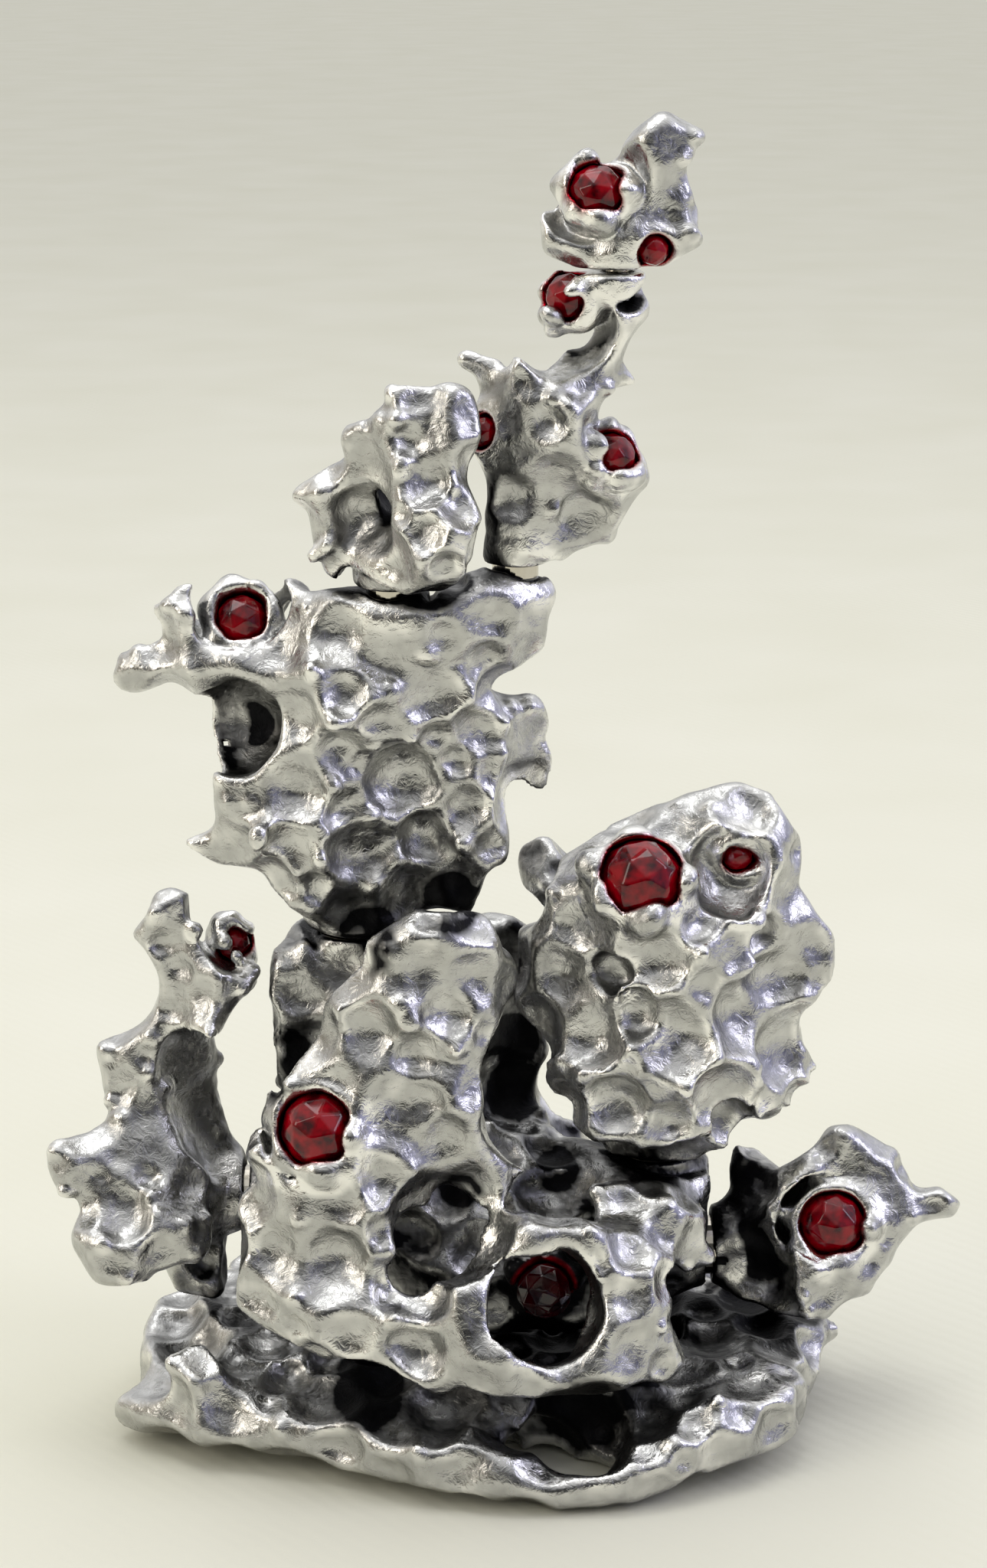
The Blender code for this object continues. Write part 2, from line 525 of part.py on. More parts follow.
def add_seat_pieces(seat_name, steel, nickel):
    """Two glued slugs and the loose magnet between them."""
    _, _, middle, axis, radius = SEATS[seat_name]
    slug_near = MAGNET_THICK / 2 + GAP
    slug_far = slug_near + SLUG_THICK
    for piece, low, high, material in (
        (seat_name + "_slug_lower", -slug_far, -slug_near, steel),
        (seat_name + "_magnet", -MAGNET_THICK / 2, MAGNET_THICK / 2, nickel),
        (seat_name + "_slug_upper", slug_near, slug_far, steel),
    ):
        bm = bmesh.new()
        add_disc(bm, middle, axis, radius, low, high)
        link_mesh(piece, bm, material)


def cut_bead_clearances(castings):
    """Each bead sits a glue line clear of its casting."""
    for holder in sorted({bead[0] for bead in BEADS.values()}):

        def fill_clearances(bm, holder=holder):
            for casting, middle, radius, _ in BEADS.values():
                if casting == holder:
                    add_ball(bm, middle, radius + GAP, rounds=3)

        subtract(castings[holder], holder + " bead seats", fill_clearances)


def add_bead(name, middle, radius, material):
    """A fire-polished glass bead: a ball with flat facets in three rows."""
    bm = bmesh.new()
    bmesh.ops.create_uvsphere(
        bm,
        u_segments=10,
        v_segments=7,
        radius=radius * MM,
        matrix=Matrix.Translation(Vector(middle) * MM),
    )
    link_mesh(name, bm, material)


def main():
    remove_all_objects()
    metals = {name: make_material(name, look) for name, look in METALS.items()}
    ruby = make_material("ruby_glass", RUBY)
    limbs = {
        "base_plate": PLATE_LIMBS,
        "crag": CRAG_LIMBS,
        "column": COLUMN_LIMBS,
        "fist": FIST_LIMBS,
        "stem": STEM_LIMBS,
        "crown": CROWN_LIMBS,
        "head": HEAD_LIMBS,
        "left_wing": WING_LIMBS,
        "branch": BRANCH_LIMBS,
    }
    aluminium = metals["cast_aluminium"]
    castings = {name: pour_casting(name, chains, aluminium) for name, chains in limbs.items()}
    clear_neighbours(castings)
    for seat_name in SEATS:
        grind_seat(castings, seat_name)
    for seat_name in SEATS:
        drill_pockets(castings, seat_name)
        add_seat_pieces(seat_name, metals["ground_steel"], metals["nickel"])
    cut_bead_clearances(castings)
    for made in castings.values():
        keep_largest_body(made)
    for name, (_, middle, radius, _) in BEADS.items():
        add_bead(name, middle, radius, ruby)


main()
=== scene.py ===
# %% [markdown]
# # A magnetic desk sculpture of bright cast metal and ruby glass
#
# The real piece is poured. Gel beads swollen with water fill a tin, molten metal runs between
# them, and when the beads are washed out every surface of the metal is a round bowl that meets its
# neighbours in a thin, rounded ridge. Nine such castings make the sculpture: a base plate and a crag
# glued on it, and seven more that stand on disc magnets. Ruby glass beads sit in some of the bowls.
#
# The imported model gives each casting's outer envelope and every joint. This file presses the bowls
# into those envelopes, gives each surface its finish, and lights the piece.

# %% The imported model
import json
import math

import bpy
import numpy as np
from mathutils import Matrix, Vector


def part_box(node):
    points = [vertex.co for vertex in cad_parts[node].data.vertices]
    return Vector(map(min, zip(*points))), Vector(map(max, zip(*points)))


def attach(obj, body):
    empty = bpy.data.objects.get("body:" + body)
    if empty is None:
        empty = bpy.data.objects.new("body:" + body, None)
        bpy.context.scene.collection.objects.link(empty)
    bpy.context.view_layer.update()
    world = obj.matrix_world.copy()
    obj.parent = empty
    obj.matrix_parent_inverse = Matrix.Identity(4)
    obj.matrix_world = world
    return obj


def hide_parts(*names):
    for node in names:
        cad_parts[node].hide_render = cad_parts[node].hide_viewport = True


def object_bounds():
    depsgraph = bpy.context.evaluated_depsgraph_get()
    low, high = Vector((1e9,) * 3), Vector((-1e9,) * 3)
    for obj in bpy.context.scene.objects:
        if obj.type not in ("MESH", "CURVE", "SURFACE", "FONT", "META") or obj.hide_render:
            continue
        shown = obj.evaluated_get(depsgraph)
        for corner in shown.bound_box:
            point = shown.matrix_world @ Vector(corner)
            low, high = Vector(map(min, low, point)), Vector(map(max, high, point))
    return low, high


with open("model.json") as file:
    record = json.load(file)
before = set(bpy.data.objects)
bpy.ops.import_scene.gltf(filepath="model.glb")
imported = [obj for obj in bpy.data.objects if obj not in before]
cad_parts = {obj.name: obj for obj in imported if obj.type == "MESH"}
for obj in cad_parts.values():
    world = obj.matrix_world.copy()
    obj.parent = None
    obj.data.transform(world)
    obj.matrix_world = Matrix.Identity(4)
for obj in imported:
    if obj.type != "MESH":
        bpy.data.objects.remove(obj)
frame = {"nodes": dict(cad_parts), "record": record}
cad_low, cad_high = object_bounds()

import openvdb
from mathutils import Vector

MM = 0.001
print("size in mm:", [round(side / MM, 1) for side in cad_high - cad_low])

# %% [markdown]
# ## The eye
#
# The piece is looked at from the front and a little above, from not much more than an arm's length,
# so nearer parts look clearly larger. The line of sight also serves below, for laying out the
# bowls on the front.

# %% Camera
EYE_DISTANCE = 420
EYE_ELEVATION = math.radians(16)
LOOK_AT = np.array([0, 0, 87.5])
to_eye = np.array([0, -math.cos(EYE_ELEVATION), math.sin(EYE_ELEVATION)])
eye = LOOK_AT + EYE_DISTANCE * to_eye

camera_data = bpy.data.cameras.new("camera")
camera_data.lens = 73.83
camera_data.sensor_width = 36
camera = bpy.data.objects.new("camera", camera_data)
camera.location = Vector(eye) * MM
camera.rotation_mode = "QUATERNION"
camera.rotation_quaternion = (-Vector(to_eye)).to_track_quat("-Z", "Y")
bpy.context.scene.collection.objects.link(camera)
bpy.context.scene.camera = camera
print("eye at", eye.round(1), "mm")

# %% [markdown]
# ## From envelope to distance field
#
# A casting like this is hard to draw as patches, because hundreds of bowls cut into each other at
# every angle. It is easy to describe as a distance field: a block of numbers, one per voxel, that
# gives the distance to the surface, negative inside the metal. Pressing a bowl in is then one line
# of arithmetic, and where two bowls meet a smooth maximum leaves the rounded ridge that surface
# tension leaves on the melt. OpenVDB turns the envelope into the field and the field into a mesh.

# %% Distance field of a casting
FIELD_DEPTH = 7.0  # mm of true distance kept on either side of the surface


def node_triangles(name):
    """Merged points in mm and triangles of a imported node."""
    mesh = frame["nodes"][name].data
    points = np.empty(len(mesh.vertices) * 3, np.float32)
    mesh.vertices.foreach_get("co", points)
    mesh.calc_loop_triangles()
    corners = np.empty(len(mesh.loop_triangles) * 3, np.int32)
    mesh.loop_triangles.foreach_get("vertices", corners)
    rounded = np.round(points.reshape(-1, 3) / MM, 3)
    merged, place = np.unique(rounded, axis=0, return_inverse=True)
    return merged.astype(np.float32), place.ravel()[corners].reshape(-1, 3).astype(np.uint32)


class Field:
    """A block of distances in mm: value[i, j, k] belongs to the point low + voxel * (i, j, k)."""

    def __init__(self, name, voxel):
        points, triangles = node_triangles(name)
        self.name = name
        self.voxel = voxel
        margin = 3.0
        self.low = np.floor((points.min(0) - margin) / voxel) * voxel
        size = np.ceil((points.max(0) + margin - self.low) / voxel).astype(int) + 1
        grid = openvdb.FloatGrid.createLevelSetFromPolygons(
            ((points - self.low) / voxel).astype(np.float32),
            triangles=triangles,
            halfWidth=FIELD_DEPTH / voxel,
        )
        self.value = np.empty(tuple(size), np.float32)
        grid.copyToArray(self.value, ijk=(0, 0, 0))
        self.value *= voxel

    def index(self, points):
        return (points - self.low) / self.voxel

    def sample(self, points):
        """Distance at each point, blended linearly between the eight voxels round it."""
        at = self.index(points)
        cell = np.clip(np.floor(at).astype(int), 0, np.array(self.value.shape) - 2)
        part = np.clip(at - cell, 0, 1)
        total = np.zeros(len(points))
        for corner in np.ndindex(2, 2, 2):
            weight = np.prod(np.where(corner, part, 1 - part), axis=1)
            total += weight * self.value[tuple((cell + corner).T)]
        return total

    def normal(self, points):
        """Unit vectors pointing straight out of the metal: the slope of the distance."""
        step = self.voxel
        slope = np.stack(
            [self.sample(points + step * axis) - self.sample(points - step * axis) for axis in np.eye(3)],
            axis=1,
        )
        return slope / np.maximum(np.linalg.norm(slope, axis=1, keepdims=True), 1e-9)


def blurred(block, passes):
    """Each pass averages every voxel with its neighbours, 1-2-1 along each axis in turn."""
    for _ in range(passes):
        for axis in range(3):
            padded = np.pad(block, [(1, 1) if a == axis else (0, 0) for a in range(3)], mode="edge")
            before = np.take(padded, range(block.shape[axis]), axis=axis)
            after = np.take(padded, range(2, block.shape[axis] + 2), axis=axis)
            block = 0.25 * before + 0.5 * block + 0.25 * after
    return block


# %% [markdown]
# ## Lumpy noise
#
# No gel bead is a perfect ball once it is squashed among others. A slow random drift, a few
# tenths of a millimetre either way, is added to the coordinates before any bowl is measured, and
# every bowl comes out a little different.

# %% Value noise on a block
SLOW_DRIFT = (0.75, 6.0)  # mm either way, and mm between one random number and the next
QUICK_DRIFT = (0.22, 2.2)


def value_noise(shape, cell, seed):
    """Random numbers from -1 to 1 on a coarse lattice, cell voxels apart, eased between them."""
    lattice = [int(n / cell) + 3 for n in shape]
    block = np.random.default_rng(seed).uniform(-1, 1, lattice).astype(np.float32)
    for axis, count in enumerate(shape):
        at = np.arange(count) / cell
        whole = at.astype(int)
        part = at - whole
        ease = (part * part * (3 - 2 * part)).astype(np.float32)
        ease = ease.reshape([-1 if a == axis else 1 for a in range(3)])
        block = np.take(block, whole, axis=axis) * (1 - ease) + np.take(block, whole + 1, axis=axis) * ease
    return block


def drifted_coordinates(field, seed):
    """Every voxel's x, y and z in mm, each with its own slow drift."""
    axes = [field.low[a] + field.voxel * np.arange(n) for a, n in enumerate(field.value.shape)]
    drifted = []
    for a, along in enumerate(axes):
        flat = along.reshape([-1 if b == a else 1 for b in range(3)]).astype(np.float32)
        slow = SLOW_DRIFT[0] * value_noise(field.value.shape, SLOW_DRIFT[1] / field.voxel, seed + a)
        quick = QUICK_DRIFT[0] * value_noise(field.value.shape, QUICK_DRIFT[1] / field.voxel, seed + 10 + a)
        drifted.append(flat + slow + quick)
    return drifted


# %% [markdown]
# ## Pressing in the bowls
#
# A bowl has a mouth on the envelope, an axis out of it, a mouth radius and a depth. The ball that
# makes it has radius (mouth² + depth²) / (2 · depth), and its middle lies outside the metal on the
# axis. A deep hollow is the same thing with a depth greater than its mouth.

# %% Bowls
RIDGE_ROUNDING = 0.9  # mm over which two bowls blend into a ridge


def smooth_max(a, b, blend):
    """The larger of the two, with a quarter-blend fillet where they are nearly equal."""
    close = np.clip(1 - np.abs(a - b) / blend, 0, 1)
    return np.maximum(a, b) + 0.25 * blend * close * close


def block_near(field, middle, reach):
    """The part of the block within reach of a point, or nothing when the point is too far off."""
    low = np.clip(np.floor(field.index(middle - reach)).astype(int), 0, None)
    high = np.clip(np.ceil(field.index(middle + reach)).astype(int) + 1, 0, field.value.shape)
    return tuple(slice(a, b) for a, b in zip(low, high)) if np.all(high > low) else None


def press_bowl(field, coordinates, mouth, axis, radius, depth):
    """Takes a ball out of the metal: its distance is its radius less the way to its middle."""
    ball = (radius**2 + depth**2) / (2 * depth)
    middle = mouth + axis * (ball - depth)
    part = block_near(field, middle, ball + 3)
    if part is None:
        return
    x, y, z = (c[part] - m for c, m in zip(coordinates, middle))
    outside_ball = ball - np.sqrt(x * x + y * y + z * z)
    rounding = min(RIDGE_ROUNDING, 0.4 * radius)
    field.value[part] = smooth_max(field.value[part], outside_ball, rounding)


def leave_metal(field, coordinates, middle, stretch, radius, blend):
    """Puts metal back round a bead or a magnet seat: a ball, or a short rod along one axis.

    The distance to a rod is the way to the nearest point of its centre line, less its radius.
    """
    part = block_near(field, middle, radius + float(np.max(stretch)) + 4)
    if part is None:
        return
    offsets = []
    for c, m, half in zip(coordinates, middle, stretch):
        offset = c[part] - m
        offsets.append(offset - np.clip(offset, -half, half))
    rod = np.sqrt(sum(offset * offset for offset in offsets)) - radius
    field.value[part] = -smooth_max(-field.value[part], -rod, blend)


def beside_beads(rows):
    """Points to the right of and above named beads, square to the line of sight."""
    across = np.eye(3)[0]
    up = np.cross([1.0, 0, 0], -to_eye)
    return np.array([bead_place(bead)[0] + right * across + above * up for bead, right, above, _ in rows])


SIGHT_START = 90  # mm towards the eye from a point, where the search along its line of sight starts
SIGHT_STEPS = 500


def where_sight_meets(field, points):
    """Goes through each point along the line of sight, from in front, until it meets the casting."""
    travelled = np.zeros(len(points))
    for _ in range(SIGHT_STEPS):
        here = points + (SIGHT_START - travelled)[:, None] * to_eye
        at = field.index(here)
        inside_box = np.all((at > 1) & (at < np.array(field.value.shape) - 2), axis=1)
        distance = np.where(inside_box, field.sample(here), 1.0)
        travelled += np.where(distance > 0.02, np.clip(distance * 0.7, 0.1, 1.0), 0)
    here = points + (SIGHT_START - travelled)[:, None] * to_eye
    return here, inside_box & (np.abs(field.sample(here)) < 0.3)


# %% [markdown]
# ## Where the bowls are
#
# The large bowls on the front are told from the glass beads: so far to the right of a bead, so far
# above it, and the mouth's radius. Each is pressed in where the line of sight meets the casting.
# The rest of the surface is filled at random, large bowls first and smaller ones in what is left,
# nearly touching, as packed gel beads are.

# %% Large bowls on the front: bead, mm to its right, mm above it, mouth radius in mm
LARGE_BOWLS = {
    "crown": [
        ("bead_crown_cup", 8.5, 5, 3.5), ("bead_crown_cup", 8.5, -4, 3.3),
        ("bead_crown_cup", 0, -7, 3.0),
    ],
    "stem": [
        ("bead_shoulder", -2.5, -8, 4.5), ("bead_shoulder", -13, -6, 3.5),
        ("bead_shoulder", -8, 4, 3.0), ("bead_neck", 4, -6, 2.5),
    ],
    "fist": [
        ("bead_stem_fork", -16, -11, 4.0), ("bead_stem_fork", -7, -7, 3.5),
        ("bead_stem_fork", -7, -14, 4.0), ("bead_stem_fork", -8, 3, 3.0),
    ],
    "column": [
        ("bead_arm", 20, -3, 4.0), ("bead_arm", 31, -15, 4.0), ("bead_arm", 21, -21, 5.0),
        ("bead_arm", 13, -17, 3.5), ("bead_arm", 29, -25, 4.0), ("bead_arm", 7, -30, 4.0),
        ("bead_arm", 14, -9, 3.5), ("bead_arm", -7, 3, 3.0),
    ],
    "head": [
        ("bead_brow", 1, -11, 6.5), ("bead_brow", -7, -20, 5.0), ("bead_brow", 5, -21, 5.5),
        ("bead_brow", 14, -9, 5.0), ("bead_brow", 12, -29, 5.5), ("bead_brow", -3, -30, 4.5),
    ],
    "crag": [
        ("bead_collar", 9, -6, 4.5), ("bead_collar", 6.5, 13, 4.5), ("bead_collar", 17, 15, 4.0),
        ("bead_collar", -9, -9, 4.0), ("bead_collar", 2, -17, 5.0), ("bead_collar", -9, -22, 4.5),
        ("bead_collar", 12, -28, 4.0), ("bead_hollow", 12, 8, 4.5), ("bead_hollow", 19, 14, 4.0),
    ],
    "left_wing": [
        ("bead_wing", -23, -30, 2.8), ("bead_wing", -15, -19, 2.5), ("bead_wing", -14, -35, 3.6),
        ("bead_wing", -9, 0, 2.6),
    ],
    "branch": [
        ("bead_branch", 0, -9, 4.0), ("bead_branch", -10, -3, 5.0), ("bead_branch", 14, 3, 2.0),
    ],
    "base_plate": [
        ("bead_hollow", -45, -8, 4.0), ("bead_hollow", -34, -10, 4.0), ("bead_hollow", 20, -15, 3.2),
    ],
}

# %% Random filling
FILL_SIZES = (5.0, 4.1, 3.3, 2.6, 1.8)  # mouth radii in mm, in the order they are packed
BOWL_SPACING = 0.86  # of the two mouth radii added: a little overlap leaves a scalloped ridge


def surface_points(field, spacing):
    """Points about spacing apart on the casting, from the corners of a coarse mesh of its field."""
    step = max(1, round(spacing / field.voxel))
    coarse = field.value[::step, ::step, ::step]
    inside = coarse < 0
    edge = np.zeros_like(inside)
    for axis in range(3):
        for shift in (1, -1):
            edge |= inside != np.roll(inside, shift, axis)
    points = field.low + field.voxel * step * np.argwhere(edge & (np.abs(coarse) < 1.5 * step * field.voxel))
    for _ in range(3):
        points = points - field.normal(points) * field.sample(points)[:, None]
    return points


def thickness(field, points, normals):
    """Half the metal's thickness at each point: the deepest distance found going straight in."""
    deepest = np.zeros(len(points))
    for depth in np.arange(0.5, 7.5, 0.5):
        deepest = np.maximum(deepest, -field.sample(points - normals * depth))
    return np.maximum(deepest, 0.6)


def fill_with_bowls(points, room, taken, taken_radii, sizes, seed):
    """Packs mouths of each size where they are at least BOWL_SPACING clear of all others."""
    random = np.random.default_rng(seed)
    chosen, radii = [], []
    clearance = np.full(len(points), np.inf)
    for middle, radius in zip(taken, taken_radii):
        clearance = np.minimum(clearance, np.linalg.norm(points - middle, axis=1) - BOWL_SPACING * radius)
    for size in sizes:
        order = random.permutation(len(points))
        radius = np.minimum(size * random.uniform(0.88, 1.12, len(points)), 0.7 + 0.95 * room)
        for pick in order:
            if radius[pick] < 0.75 * size or clearance[pick] < BOWL_SPACING * radius[pick]:
                continue
            chosen.append(pick)
            radii.append(radius[pick])
            away = np.linalg.norm(points - points[pick], axis=1) - BOWL_SPACING * radius[pick]
            clearance = np.minimum(clearance, away)
    return np.array(chosen, int), np.array(radii), clearance


def junctions(points, clearance, count):
    """The spots farthest from every mouth, where three ridges meet, at least 2.6 mm apart."""
    order = np.argsort(-clearance)
    picked = []
    for pick in order[: 6 * count]:
        if len(picked) < count and all(np.linalg.norm(points[pick] - points[p]) > 2.6 for p in picked):
            picked.append(pick)
    return np.array(picked, int)


# %% [markdown]
# ## Tidying the field
#
# Bowls that meet from both sides can cut a crumb of metal loose, or leave a bubble sealed inside.
# Neither exists on a real casting, so only the metal that can be reached from its largest piece,
# and only the air that can be reached from outside, are kept.

# %% Flood fill


def flood(allowed, start):
    """Everything in allowed that joins on to start, swept along each axis until nothing changes."""
    reached = start & allowed
    while True:
        before = np.count_nonzero(reached)
        for axis in range(3):
            lines = np.moveaxis(reached, axis, 0)
            open_lines = np.moveaxis(allowed, axis, 0)
            for i in range(1, len(lines)):
                lines[i] |= lines[i - 1] & open_lines[i]
            for i in range(len(lines) - 2, -1, -1):
                lines[i] |= lines[i + 1] & open_lines[i]
        if np.count_nonzero(reached) == before:
            return reached


def one_solid_piece(value):
    """The field with loose crumbs of metal turned to air and sealed bubbles turned to metal."""
    metal = value < 0
    deepest = np.zeros_like(metal)
    deepest[np.unravel_index(np.argmin(value), value.shape)] = True
    kept = flood(metal, deepest)
    value = np.where(metal & ~kept, 0.2, value)
    air = value >= 0
    corner = np.zeros_like(air)
    corner[0, 0, 0] = True
    outside = flood(air, corner)
    return np.where(air & ~outside, -0.2, value).astype(np.float32)


# %% Beads and seats
BEADS = [name for name in frame["nodes"] if name.startswith("bead_")]
SEATS = [name[: -len("_magnet")] for name in frame["nodes"] if name.endswith("_magnet")]
CUP_WALL = 1.7  # mm of metal left round a bead
INSIDE = 0.05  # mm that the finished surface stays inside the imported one
NUB_RADIUS = 1.0  # mm, of the knobs where ridges meet
NUBS = {  # how many places on each casting may carry a knob
    "base_plate": 60,
    "crag": 90,
    "column": 90,
    "head": 40,
    "left_wing": 50,
    "branch": 24,
    "stem": 60,
    "fist": 44,
    "crown": 30,
}
LEAST_LIPPED = 2.0  # mm: smaller beads sit too near their neighbours to have lips
LIPS = 5  # lumps of metal round each bead
SEAT_WALL = 1.6  # mm of metal left round a slug and its magnet
SEAT_REACH = 2.6  # mm past each face of a magnet that the metal is left, for its slugs


def bead_place(name):
    """Middle and radius of a bead, in mm."""
    low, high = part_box(name)
    return (np.array(low) + np.array(high)) / 2 / MM, max(high - low) / 2 / MM


def seat_place(name):
    """Middle of a seat, how far it reaches along each axis, and its radius, in mm."""
    low, high = (np.array(corner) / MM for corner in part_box(name + "_magnet"))
    size = high - low
    along = np.arange(3) == np.argmin(size)
    return (low + high) / 2, np.where(along, size.min() / 2 + SEAT_REACH, 0.0), size.max() / 2


def even_directions(count):
    """Unit vectors spread evenly over a sphere, on a spiral that turns by the golden angle."""
    turn = math.pi * (3 - math.sqrt(5)) * np.arange(count)
    z = 1 - (2 * np.arange(count) + 1) / count
    ring = np.sqrt(1 - z * z)
    return np.stack([ring * np.cos(turn), ring * np.sin(turn), z], axis=1)


def node_body(name):
    groups = frame["record"]["behaviour"]["bodies"]
    return next(body for body, nodes in groups.items() if name in nodes)


def plain_coordinates(field):
    """Every voxel's x, y and z in mm, in shapes that spread over the block."""
    axes = [field.low[a] + field.voxel * np.arange(n) for a, n in enumerate(field.value.shape)]
    return np.broadcast_arrays(*np.meshgrid(*axes, indexing="ij", sparse=True))


def envelope_at(field, envelope, point):
    """The envelope's distance at the voxel nearest a point, or far when it is off the block."""
    at = np.round(field.index(point)).astype(int)
    within = np.all((at >= 0) & (at < field.value.shape))
    return float(envelope[tuple(at)]) if within else 99.0


def way_out(field, middle, radius):
    """Which way a bead's cup opens: the mean of all directions that reach air just past it."""
    directions = even_directions(240)
    in_air = field.sample(middle + (radius + 1.4) * directions) > 0
    mean = directions[in_air].sum(0) if in_air.any() else to_eye
    return mean / np.linalg.norm(mean)


def lip_lumps(middle, radius, facing, seed):
    """Middles and radii of the lumps of metal that lap over a bead's edge, unevenly spaced."""
    random = np.random.default_rng(seed)
    side = np.cross(facing, [0.3, 0.2, 0.9])
    side /= np.linalg.norm(side)
    other = np.cross(facing, side)
    turn = 2 * math.pi * (np.arange(LIPS) + random.uniform(-0.32, 0.32, LIPS)) / LIPS
    lean = np.radians(random.uniform(60, 84, LIPS))[:, None]
    ring = np.cos(turn)[:, None] * side + np.sin(turn)[:, None] * other
    out = np.cos(lean) * facing + np.sin(lean) * ring
    return middle + (radius + 0.8) * out, random.uniform(0.2, 0.36, LIPS) * radius + 0.45


def nearest_seat(point):
    """How far a point is from the middle of the nearest magnet, in mm."""
    return min(np.linalg.norm(point - seat_place(seat)[0]) for seat in SEATS)


print("beads:", len(BEADS), "seats:", SEATS)

# %% Casting the pieces
VOXELS = {
    "base_plate": 0.55,
    "crag": 0.55,
    "column": 0.5,
    "head": 0.5,
    "left_wing": 0.42,
    "branch": 0.4,
    "stem": 0.36,
    "fist": 0.4,
    "crown": 0.32,
}
DEPTH_OF_MOUTH = 0.88  # a bowl's depth over its mouth radius
STOUT = ("base_plate", "crag", "column", "head")  # castings without the smallest bowls
SLENDER = ("stem", "crown", "left_wing", "branch")  # castings whose bowls are kept shallow
SLENDER_SHARES = (0.42, 0.25)  # of the metal, that a laid-out and a filled-in bowl may take
STURDY_SHARES = (0.6, 0.4)
SWELL = 0.9  # mm the blank is swollen before pressing, so that ridges end at the envelope
POINT_SPACING = 1.2  # mm between the points that bowls may be centred on
LEAN_TO_EYE = 0.6  # how much a laid-out bowl's axis leans towards the eye
MOUTH_STRETCH = 1.1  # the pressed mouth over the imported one, so that neighbours overlap
PIT_SHARE = 0.3  # how many of the smaller bowls are deep pits where there is metal enough
PIT_LARGEST = 3.4  # mm, above which no mouth becomes a pit
PIT_DEPTH = 1.6  # a pit's depth below the envelope over its mouth radius
PIT_ROOM = 1.9  # the metal that a pit needs below the envelope over its mouth radius
PIT_FROM_BEAD = 9  # mm from a pit's mouth to a bead's middle
NUB_SINK = 0.45  # mm from the envelope down to a knob's middle
NUB_FROM_SEAT = 9  # mm from a knob to the middle of a magnet seat
NUB_LOWEST = 6  # mm above the desk
FACING_GAP = (-9, 5)  # mm along X, where fist and stem face each other and have no knobs
LIP_FROM_SEAT = 7  # mm from a lip to the middle of a magnet seat
CUP_SLACK = 0.15  # mm of air left between a bead and its cup


def choose_bowls(field, name, seed):
    """Each bowl's mouth, axis, radius and depth, and the point and normal where each knob may be."""
    rows = LARGE_BOWLS[name]
    mouths, met = where_sight_meets(field, beside_beads(rows))
    mouths, mouth_radii = mouths[met], np.array([row[3] for row in rows])[met]
    mouth_axes = field.normal(mouths) + LEAN_TO_EYE * to_eye
    mouth_axes /= np.linalg.norm(mouth_axes, axis=1, keepdims=True)

    points = surface_points(field, POINT_SPACING)
    normals = field.normal(points)
    room = thickness(field, points, normals)
    sizes = FILL_SIZES[:-1] if name in STOUT else FILL_SIZES
    chosen, radii, clearance = fill_with_bowls(points, room, mouths, mouth_radii, sizes, seed)
    all_mouths = np.vstack([mouths, points[chosen]])
    all_axes = np.vstack([mouth_axes, normals[chosen]])
    all_radii = np.concatenate([mouth_radii, radii])
    all_room = thickness(field, all_mouths, all_axes)
    laid_out_share, filled_share = SLENDER_SHARES if name in SLENDER else STURDY_SHARES
    share = np.where(np.arange(len(all_radii)) < len(mouths), laid_out_share, filled_share)
    depths = np.minimum(DEPTH_OF_MOUTH * all_radii, SWELL + share * (all_room - SWELL))
    pits = np.random.default_rng(seed + 1).uniform(0, 1, len(all_radii)) < PIT_SHARE
    pits &= (all_radii < PIT_LARGEST) & (all_room > SWELL + PIT_ROOM * all_radii)
    for bead in BEADS:
        pits &= np.linalg.norm(all_mouths - bead_place(bead)[0], axis=1) > PIT_FROM_BEAD
    depths = np.where(pits, SWELL + PIT_DEPTH * all_radii, depths)
    print(name, field.value.shape, "bowls:", len(mouths), "laid out,", len(chosen), "filled in")
    meetings = junctions(points, clearance, NUBS[name])
    return (all_mouths, all_axes, all_radii, depths), (points[meetings], normals[meetings])


def add_knobs(field, coordinates, points, normals):
    """A knob just below each point that faces the eye and has metal and free air about it."""
    for point, normal in zip(points, normals):
        spot = point - normal * (SWELL + NUB_SINK)
        near_seat = nearest_seat(spot) < NUB_FROM_SEAT
        between = field.name in ("fist", "stem") and FACING_GAP[0] < spot[0] < FACING_GAP[1]
        low_down = spot[2] < NUB_LOWEST
        eaten = field.sample(spot[None])[0] > 0.1
        if not (near_seat or between or low_down or eaten or normal @ to_eye < 0):
            leave_metal(field, coordinates, spot, np.zeros(3), NUB_RADIUS, 1.0)


def lap_over_beads(field, coordinates, envelope):
    """Lips over the edge of each bead that the casting holds, with the bead's own room cleared."""
    same_body = [bead for bead in BEADS if node_body(bead) == node_body(field.name)]
    for number, bead in enumerate(same_body):
        middle, radius = bead_place(bead)
        held_here = -1.2 < envelope_at(field, envelope, middle) < radius + 1.2
        if not held_here or radius < LEAST_LIPPED:
            continue
        for lump, size in zip(*lip_lumps(middle, radius, way_out(field, middle, radius), number)):
            if nearest_seat(lump) > LIP_FROM_SEAT:
                leave_metal(field, coordinates, lump, np.zeros(3), size, 1.4)
        part = block_near(field, middle, radius + 2)
        x, y, z = (c[part] - m for c, m in zip(plain_coordinates(field), middle))
        socket = radius + CUP_SLACK - np.sqrt(x * x + y * y + z * z)
        field.value[part] = np.maximum(field.value[part], socket)


